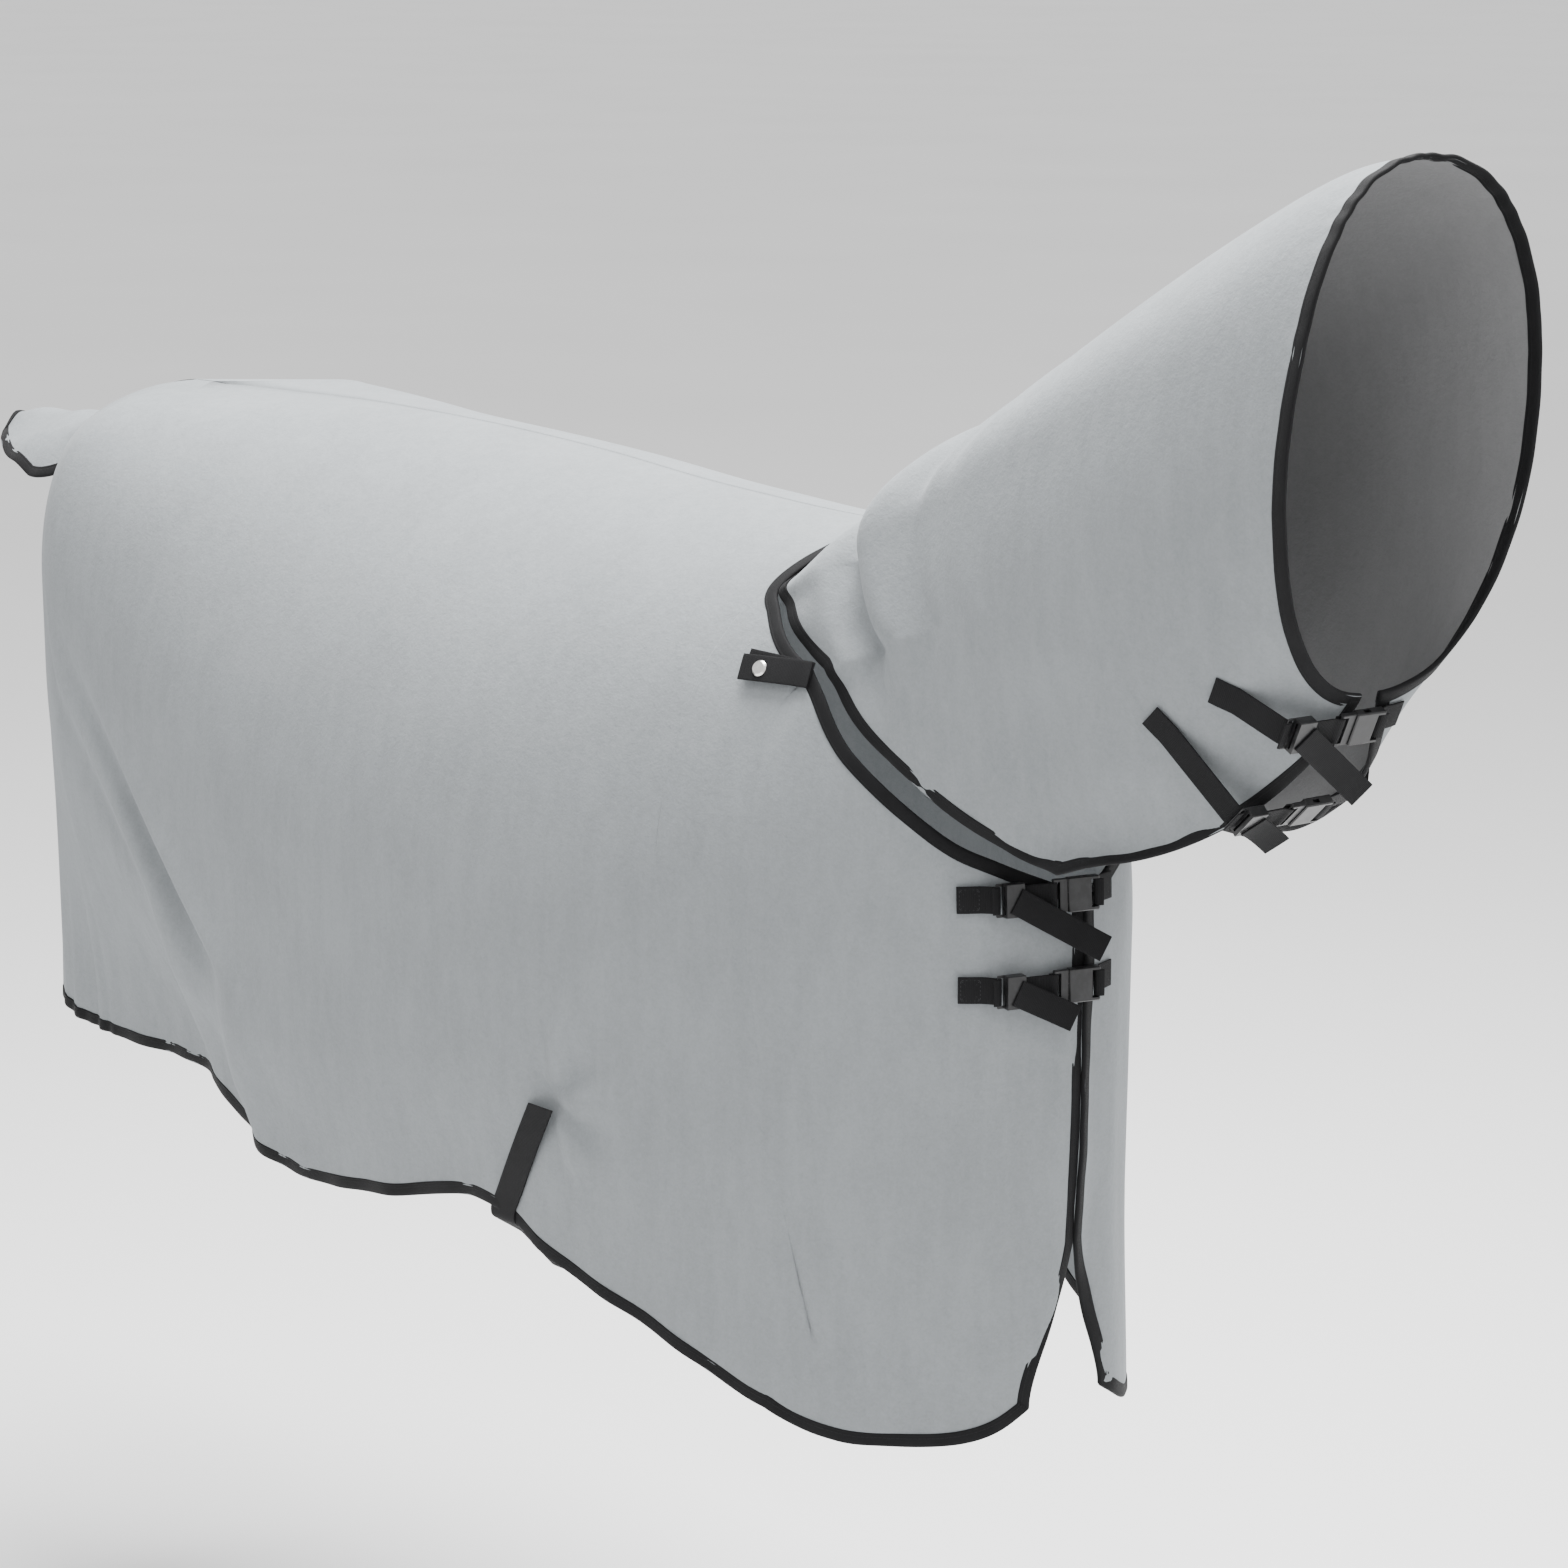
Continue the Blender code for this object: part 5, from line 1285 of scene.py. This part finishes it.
@dataclass
class Webbing:
    """Builds flat webbing along a local path, with its own map and sewing."""

    wardrobe: Wardrobe
    spacing: float = 0.0016
    across_count: int = 13

    def build(self, name: str, node: str, body: str, frame_: StrapFrame, path: Sequence[Sequence[float]],
              width: float, angle: float = 0.0, curl: float = 0.0) -> bpy.types.Object:
        """Lay webbing along a path of local (a, o) points.

        The path is rounded by averaging, read at even steps, and carried across its
        width. The middle stands up to 0.15 mm proud, and curl lifts the free end with
        the square of the way along.

        Args:
            name: Object name.
            node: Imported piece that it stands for.
            body: Body that it rides on.
            frame_: Local axes.
            path: Points (a, o) of its middle line, or (a, o, w) where it also moves across.
            width: Webbing width.
            angle: Turn in the plane of the cloth about the path's start, in radians.
            curl: Rise of the far end.

        Returns:
            The webbing.
        """
        line = np.array([(*row, 0.0)[:3] for row in path])
        run = run_length(line)
        count = max(int(run[-1] / self.spacing), 12)
        line = resample(line, run, count)
        for _ in range(3):
            line[1:-1] = 0.5 * line[1:-1] + 0.25 * (line[:-2] + line[2:])
        share = np.linspace(0.0, 1.0, count)
        line[:, 1] += curl * share**2
        w = np.linspace(-0.5, 0.5, self.across_count) * width
        crown = 0.00015 * (1.0 - (w / (0.5 * width)) ** 2)
        reach = line[:, :1] - line[0, 0]
        a = line[0, 0] + reach * math.cos(angle) - w[None, :] * math.sin(angle)
        across = reach * math.sin(angle) + w[None, :] * math.cos(angle) + line[:, 2:]
        grid = frame_.world(a, across, line[:, 1:2] + crown[None, :])
        uv = np.stack(np.broadcast_arrays(run_length(line)[:, None], w[None, :]), -1)
        thing = sheet_object(name, grid, frame_.outward, WEB_THICK, uv, bevel=True)
        thing.data.materials.append(self.wardrobe.webbing)
        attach(thing, body)
        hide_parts(node)
        return thing

    def stitches(self, name: str, body: str, frame_: StrapFrame,
                 rows: Sequence[Sequence[Sequence[float]]], pitch: float = 0.0034) -> bpy.types.Object:
        """Threads that lie proud of webbing along straight rows.

        Each thread is a short six-sided bead: its section is a circle of 0.35 mm whose
        radius follows the square root of sine along its length.

        Args:
            name: Object name.
            body: Body that it rides on.
            frame_: Local axes.
            rows: Pairs of local (a, w, o) ends.
            pitch: Distance from one stitch to the next.

        Returns:
            All the threads as one piece.
        """
        rings, sides = 6, 6
        s = np.linspace(0.0, 1.0, rings)
        radius = 0.00036 * np.sqrt(np.maximum(np.sin(math.pi * s), 0.0)) + 1e-5
        turn = np.linspace(0.0, 2.0 * math.pi, sides, endpoint=False)
        verts, faces, uvs = [], [], []
        one = grid_faces(rings, sides, closed=True)
        base = 0
        for start, stop in rows:
            start, stop = np.asarray(start, float), np.asarray(stop, float)
            length = float(np.linalg.norm(stop - start))
            count = max(int(length / pitch), 1)
            k = (np.arange(count) + 0.5) / count
            centre = start + (stop - start) * k[:, None]
            ahead = unit(stop - start)
            side = unit(np.cross(ahead, np.array([0.0, 0.0, 1.0])))
            up = np.cross(side, ahead)
            body_run = (s - 0.5) * pitch * 0.78
            ring = (ahead[None, None, :] * body_run[:, None, None]
                    + side * (radius[:, None, None] * np.cos(turn)[None, :, None])
                    + up * (radius[:, None, None] * np.sin(turn)[None, :, None]))
            every = centre[:, None, None, :] + ring[None]
            world = frame_.world(every[..., 0], every[..., 1], every[..., 2]).reshape(-1, 3)
            verts.append(world)
            first = base + np.arange(count) * rings * sides
            faces.append((one[None] + first[:, None, None]).reshape(-1, 4))
            uvs.append(np.zeros((len(world), 2)))
            base += len(world)
        thing = new_object(name, np.vstack(verts), np.vstack(faces)[:, ::-1], np.vstack(uvs))
        thing.data.materials.append(self.wardrobe.thread)
        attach(thing, body)
        return thing


@dataclass
class ClosingStraps:
    """The two chest straps and the two straps under the jaw."""

    wardrobe: Wardrobe
    form: HorseForm
    hardware: Hardware = field(default_factory=Hardware)
    strap_lift: float = 0.0092
    chin_lift: float = 0.0125
    chest: tuple[StrapPlan, ...] = (
        StrapPlan("chest_upper", -0.318, -31.0, 0.098, 0.0040, 0.0028, 0.020),
        StrapPlan("chest_lower", -0.402, -27.0, 0.060, 0.0028, 0.0028, 0.020),
    )
    chin: tuple[StrapPlan, ...] = (
        StrapPlan("chin_upper", 0.93, -38.0, 0.100, 0.0050, 0.0041, 0.002),
        StrapPlan("chin_lower", 0.62, -32.0, 0.046, 0.0060, 0.0041, 0.002),
    )

    def build(self) -> list[bpy.types.Object]:
        """Build the webbing and sewing of every closing strap.

        Returns:
            Every piece made.
        """
        pieces = []
        for plan in self.chest:
            frame_ = self.chest_frame(plan.place)
            pieces += self.strap(plan, frame_, self.chest_line(plan.place, -1),
                                 self.chest_line(plan.place, 1), "rug")
        for plan in self.chin:
            frame_ = self.chin_frame(plan.place)
            pieces += self.strap(plan, frame_, self.chin_line(plan.place, -1, frame_),
                                 self.chin_line(plan.place, 1, frame_), "neck_cover")
        return pieces

    def girth_at(self, station: float, height: float) -> float:
        """Girth share at which a section reaches a height."""
        share = np.linspace(0.2, 0.98, 400)
        z = self.form.point(np.full(400, float(station)), share, -1)[:, 2]
        return float(np.interp(-height, -z, share))

    def chest_frame(self, height: float) -> StrapFrame:
        """Axes of a chest strap, over the right front edge."""
        girth = self.girth_at(1.0, height)
        edge = self.form.point(0.0, girth, -1)
        before = self.form.point(14.0, self.girth_at(14.0, height), -1)
        below = self.form.point(0.0, girth + 0.03, -1)
        along = edge - before
        outward = np.cross(edge - below, along)
        outward = unit(outward * np.sign(outward[0]))
        return StrapFrame.square(edge + outward * self.strap_lift, along, outward)

    def chest_line(self, height: float, side: int) -> Points:
        """Cloth under a chest strap on one side, from its front edge."""
        return np.array([self.form.point(s, self.girth_at(s, height), side)
                         for s in np.linspace(0.0, 60.0, 60)])

    def chin_frame(self, ahead: float) -> StrapFrame:
        """Axes of a jaw strap, between the two throat edges."""
        drape = NeckDrape(self.form)
        right, left = drape.bare(ahead, 1.0, -1), drape.bare(ahead, 1.0, 1)
        to_face = drape.bare(ahead + 0.05, 1.0, -1) - drape.bare(ahead - 0.05, 1.0, -1)
        outward = np.cross(to_face, left - right)
        outward = unit(outward * -np.sign(outward[2]))
        return StrapFrame.square((right + left) / 2.0 + outward * self.chin_lift, left - right, outward)

    def chin_line(self, ahead: float, side: int, frame_: StrapFrame) -> Points:
        """Cloth under a jaw strap on one side, from the throat edge.

        The way ahead is corrected until each point lies in the strap's own plane.
        """
        drape = NeckDrape(self.form)
        around = np.linspace(1.0, 0.45, 60)
        share = np.full(60, ahead)
        for _ in range(6):
            off = (drape.bare(share, around, side) - frame_.origin) @ frame_.across
            step = drape.bare(share + 0.01, around, side) - drape.bare(share - 0.01, around, side)
            share = np.clip(share - off / (step @ frame_.across / 0.02), 0.02, 0.98)
        return drape.bare(share, around, side)

    def seat(self, frame_: StrapFrame, line: Points, start: float, lift: float) -> list:
        """Local path that lies on cloth from a distance along it."""
        run = run_length(line)
        a, o = frame_.local(line)
        slope = np.stack([np.gradient(a, run), np.gradient(o, run)])
        slope = slope / np.hypot(*slope) * np.sign(slope[0, 0])
        a, o = a - slope[1] * lift, o + slope[0] * lift
        at = np.linspace(start, start + self.hardware.sewn_length, 8)
        return list(zip(np.interp(at, run, a), np.interp(at, run, o)))

    @staticmethod
    def box_stitch(path: Sequence[Sequence[float]]) -> list:
        """Ends of the stitch rows of a box with a cross in it, on sewn webbing."""
        inset, half, up = 0.10, WEB_WIDTH * 0.38, WEB_THICK / 2.0 + 0.0003
        (a0, o0), (a1, o1) = path[0], path[-1]
        reach_a, reach_o = (a1 - a0) * inset, (o1 - o0) * inset
        start, stop = (a0 + reach_a, o0 + reach_o + up), (a1 - reach_a, o1 - reach_o + up)
        corners = [(start[0], -half, start[1]), (stop[0], -half, stop[1]),
                   (stop[0], half, stop[1]), (start[0], half, start[1])]
        sides = [(corners[k], corners[(k + 1) % 4]) for k in range(4)]
        return sides + [(corners[0], corners[2]), (corners[1], corners[3])]

    def strap(self, plan: StrapPlan, frame_: StrapFrame, near: Points, far: Points,
              body: str) -> list[bpy.types.Object]:
        """Webbing of one closing strap.

        Args:
            plan: Its place and loose tail.
            frame_: Its axes.
            near: Cloth under its sewn end.
            far: Cloth under its far end.
            body: Body that the sewn webbing rides on.

        Returns:
            Its four webbings and their sewing.
        """
        hw, maker, name = self.hardware, Webbing(self.wardrobe), plan.name
        sewn = self.seat(frame_, near, hw.near_start, plan.near_lift)[::-1]
        far_sewn = self.seat(frame_, far, plan.far_start, plan.far_lift)
        tail = [(hw.slider_at, hw.tail_lift), (hw.slider_at + plan.tail_length, hw.tail_lift)]
        routes = (
            ("sewn_web", "sewn_webbing", body, sewn + hw.slider_route()),
            ("far_web", "far_webbing", body, hw.female_route() + far_sewn),
            ("strap_web", "strap", f"{name}_strap", hw.strap_route()),
        )
        pieces = [maker.build(f"{name}_{word}", f"{name}_{node}", rides, frame_, route, WEB_WIDTH)
                  for word, node, rides, route in routes]
        pieces.append(maker.build(f"{name}_tail_web", f"{name}_loose_tail", f"{name}_tail", frame_,
                                  tail, WEB_WIDTH, angle=math.radians(plan.tail_angle), curl=0.010))
        rows = self.box_stitch(sewn) + self.box_stitch(far_sewn)
        pieces.append(maker.stitches(f"{name}_sewing", body, frame_, rows))
        LOG.info("strap %s", name)
        return pieces


@dataclass
class BellyStrap:
    """The belly surcingle: webbing down each side to a buckle under the belly."""

    wardrobe: Wardrobe
    form: HorseForm
    hardware: Hardware = field(default_factory=Hardware)
    station: float = 118.0
    top_station: float = 111.5
    top_z: float = -0.566
    belly_z: float = -0.775
    reach: float = 0.165
    lift: float = 0.0060

    def build(self) -> list[bpy.types.Object]:
        """Build the two side webbings and the sliding strap.

        Returns:
            Every piece made.
        """
        hw, maker = self.hardware, Webbing(self.wardrobe, spacing=0.0024)
        x = float(self.form.point(self.station, 0.9, -1)[0])
        axes = StrapFrame.square(np.array([x, 0.0, self.belly_z]), np.array([0.0, 1.0, 0.0]),
                                 np.array([0.0, 0.0, -1.0]))
        right = self.drop(axes, -1) + [(-self.reach, hw.slider_bar[1] - hw.loop)] + hw.slider_route()
        left = hw.female_route() + [(self.reach, -hw.loop)] + self.drop(axes, 1)[::-1]
        LOG.info("belly strap")
        return [
            maker.build("belly_right_web", "belly_right_webbing", "rug", axes, right, BELLY_WEB_WIDTH),
            maker.build("belly_left_web", "belly_left_webbing", "rug", axes, left, BELLY_WEB_WIDTH),
            maker.build("belly_strap_web", "belly_strap", "belly_strap", axes, hw.strap_route(),
                        BELLY_WEB_WIDTH),
        ]

    def drop(self, axes: StrapFrame, side: int) -> list:
        """Middle line of the webbing from its stitching down past the hem to the belly."""
        share = np.linspace(0.2, 0.98, 400)
        z = self.form.point(np.full(400, self.top_station), share, -1)[:, 2]
        girths = np.linspace(float(np.interp(-self.top_z, -z, share)), 0.995, 9)
        station = np.linspace(self.top_station, self.station, 9)
        skin = self.form.point(station, girths, side)
        line = skin + self.form.normal(station, girths, side) * self.lift
        a, o = axes.local(line)
        w = (line - axes.origin) @ axes.across
        return list(zip(a, o, w)) + [(a[-1], o[-1] + 0.010, w[-1]),
                                     (side * (self.reach + 0.075), o[-1] + 0.034, w[-1] / 2.0),
                                     (side * (self.reach + 0.035), -0.009)]


@dataclass
class PressTabs:
    """The webbing tabs with press studs on both shoulders."""

    wardrobe: Wardrobe
    form: HorseForm
    station: float = 87.0
    girth: float = 0.272
    rise: float = 0.0006
    start: float = 0.005
    length: float = 0.078
    lower: float = 0.0033
    upper: float = 0.0075
    front: float = 0.0053

    def frame_on(self, side: int) -> StrapFrame:
        """Axes of a tab: its origin at the front, clear of the cloth beneath."""
        spread = np.linspace(self.station, self.station + 9.0, 24)[:, None]
        rise = np.linspace(-0.022, 0.022, 5) - self.rise * (spread - self.station)
        under = self.form.point(spread, self.girth + rise, side)
        normal = self.form.normal(np.array(self.station + 5.5), np.array(self.girth), side)
        axes = StrapFrame.square(under[0, 2], under[-1, 2] - under[0, 2], normal)
        along, height = axes.local(under.reshape(-1, 3))
        beneath = (along > 0.0) & (along < self.start + self.length)
        return StrapFrame(axes.origin + axes.outward * float(height[beneath].max()), axes.along,
                          axes.outward)

    def build(self) -> list[bpy.types.Object]:
        """Build both leaves of each tab.

        Returns:
            Every piece made.
        """
        pieces = []
        for side in Side:
            maker, word = Webbing(self.wardrobe), side.word
            axes = self.frame_on(side.value)
            low = [(self.start, self.lower), (self.start + self.length * 0.97, self.lower)]
            high = [(self.start, self.front), (self.start + 0.008, self.front),
                    (self.start + 0.020, self.upper), (self.start + self.length, self.upper)]
            tab = f"tab_{word}"
            pieces.append(maker.build(f"{tab}_under_web", f"{tab}_lower_leaf", "rug", axes, low,
                                      WEB_WIDTH, angle=math.radians(5.0 * side.value)))
            pieces.append(maker.build(f"{tab}_over_web", f"{tab}_upper_leaf", tab, axes, high, WEB_WIDTH))
            LOG.info("tab %s", word)
        return pieces


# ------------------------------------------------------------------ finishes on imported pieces
def dress_packed(wardrobe: Wardrobe) -> None:
    """Give the plastic and metal pieces that stay their own finishes.

    Args:
        wardrobe: The shared finishes.
    """
    for name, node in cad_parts.items():
        finish = None
        if name.endswith(("slider", "male_buckle", "female_buckle")):
            finish = wardrobe.plastic
        elif name.endswith(("stud", "socket")):
            finish = wardrobe.stud
        if finish is not None:
            node.data.materials.clear()
            node.data.materials.append(finish)


# ------------------------------------------------------------------ studio
@dataclass
class Studio:
    """Floor, lights, surroundings and camera."""

    azimuth: float = 50.0
    elevation: float = 12.0
    focal: float = 105.6
    distance: float = 4.3
    right_shift: float = 0.1131
    up_shift: float = 0.2533
    floor_z: float = -1.42

    def build(self) -> None:
        """Make the whole studio."""
        self.floor()
        self.world()
        self.camera()
        self.light("key", (2.6, -1.8, 3.6), 1.6, 70.0)
        self.light("fill", (4.2, 0.4, 1.4), 3.0, 10.0)
        self.light("top", (-0.3, 0.5, 3.0), 2.4, 560.0)

    def floor(self) -> None:
        """A plain pale floor, far larger than the rug."""
        size = 300.0
        corners = np.array([(-size, -size, self.floor_z), (size, -size, self.floor_z),
                            (size, size, self.floor_z), (-size, size, self.floor_z)])
        thing = new_object("studio_floor", corners, np.array([[0, 1, 2, 3]]))
        thing.data.materials.append(FloorFinish().material())

    def world(self) -> None:
        """An even white surround."""
        world = bpy.data.worlds.new("studio")
        world.use_nodes = True
        world.node_tree.nodes["Background"].inputs[0].default_value = (1.0, 1.0, 1.0, 1.0)
        world.node_tree.nodes["Background"].inputs[1].default_value = 1.1
        bpy.context.scene.world = world

    def light(self, name: str, place: Sequence[float], size: float, power: float) -> None:
        """A square soft light aimed at the rug.

        Args:
            name: Light name.
            place: Position.
            size: Edge length.
            power: Power in watts.
        """
        lamp = bpy.data.lights.new(name, "AREA")
        lamp.size = size
        lamp.energy = power
        thing = bpy.data.objects.new(name, lamp)
        bpy.context.scene.collection.objects.link(thing)
        thing.location = place
        aim = Vector((-0.3, 0.0, -0.3)) - thing.location
        thing.rotation_euler = aim.to_track_quat("-Z", "Y").to_euler()

    def camera(self) -> None:
        """A long lens looking a little down at the right shoulder."""
        turn, tilt = math.radians(self.azimuth), math.radians(self.elevation)
        right = np.array([math.cos(turn), math.sin(turn), 0.0])
        ahead = np.array([-math.sin(turn) * math.cos(tilt), math.cos(turn) * math.cos(tilt),
                          -math.sin(tilt)])
        up = np.array([-math.sin(turn) * math.sin(tilt), math.cos(turn) * math.sin(tilt),
                       math.cos(tilt)])
        place = -self.distance * ahead - self.right_shift * right - self.up_shift * up
        lens = bpy.data.cameras.new("camera")
        lens.lens = self.focal
        lens.sensor_width = 36.0
        lens.clip_end = 1000.0
        thing = bpy.data.objects.new("camera", lens)
        bpy.context.scene.collection.objects.link(thing)
        matrix = np.eye(4)
        matrix[:3, 0], matrix[:3, 1], matrix[:3, 2], matrix[:3, 3] = right, up, -ahead, place
        thing.matrix_world = Matrix(matrix.tolist())
        bpy.context.scene.camera = thing


def main() -> None:
    """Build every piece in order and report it."""
    logging.basicConfig(level=logging.INFO, format="%(name)s: %(message)s")
    wardrobe, form = Wardrobe(), HorseForm()
    Studio().build()
    groups = (BodySheet(wardrobe, form), NeckCover(wardrobe, form), TailFlap(wardrobe),
              ClosingStraps(wardrobe, form), BellyStrap(wardrobe, form), PressTabs(wardrobe, form))
    for group in groups:
        for piece in group.build():
            LOG.info("%s: %d points", piece.name, len(piece.data.vertices))
    dress_packed(wardrobe)


if __name__ == "__main__":
    main()
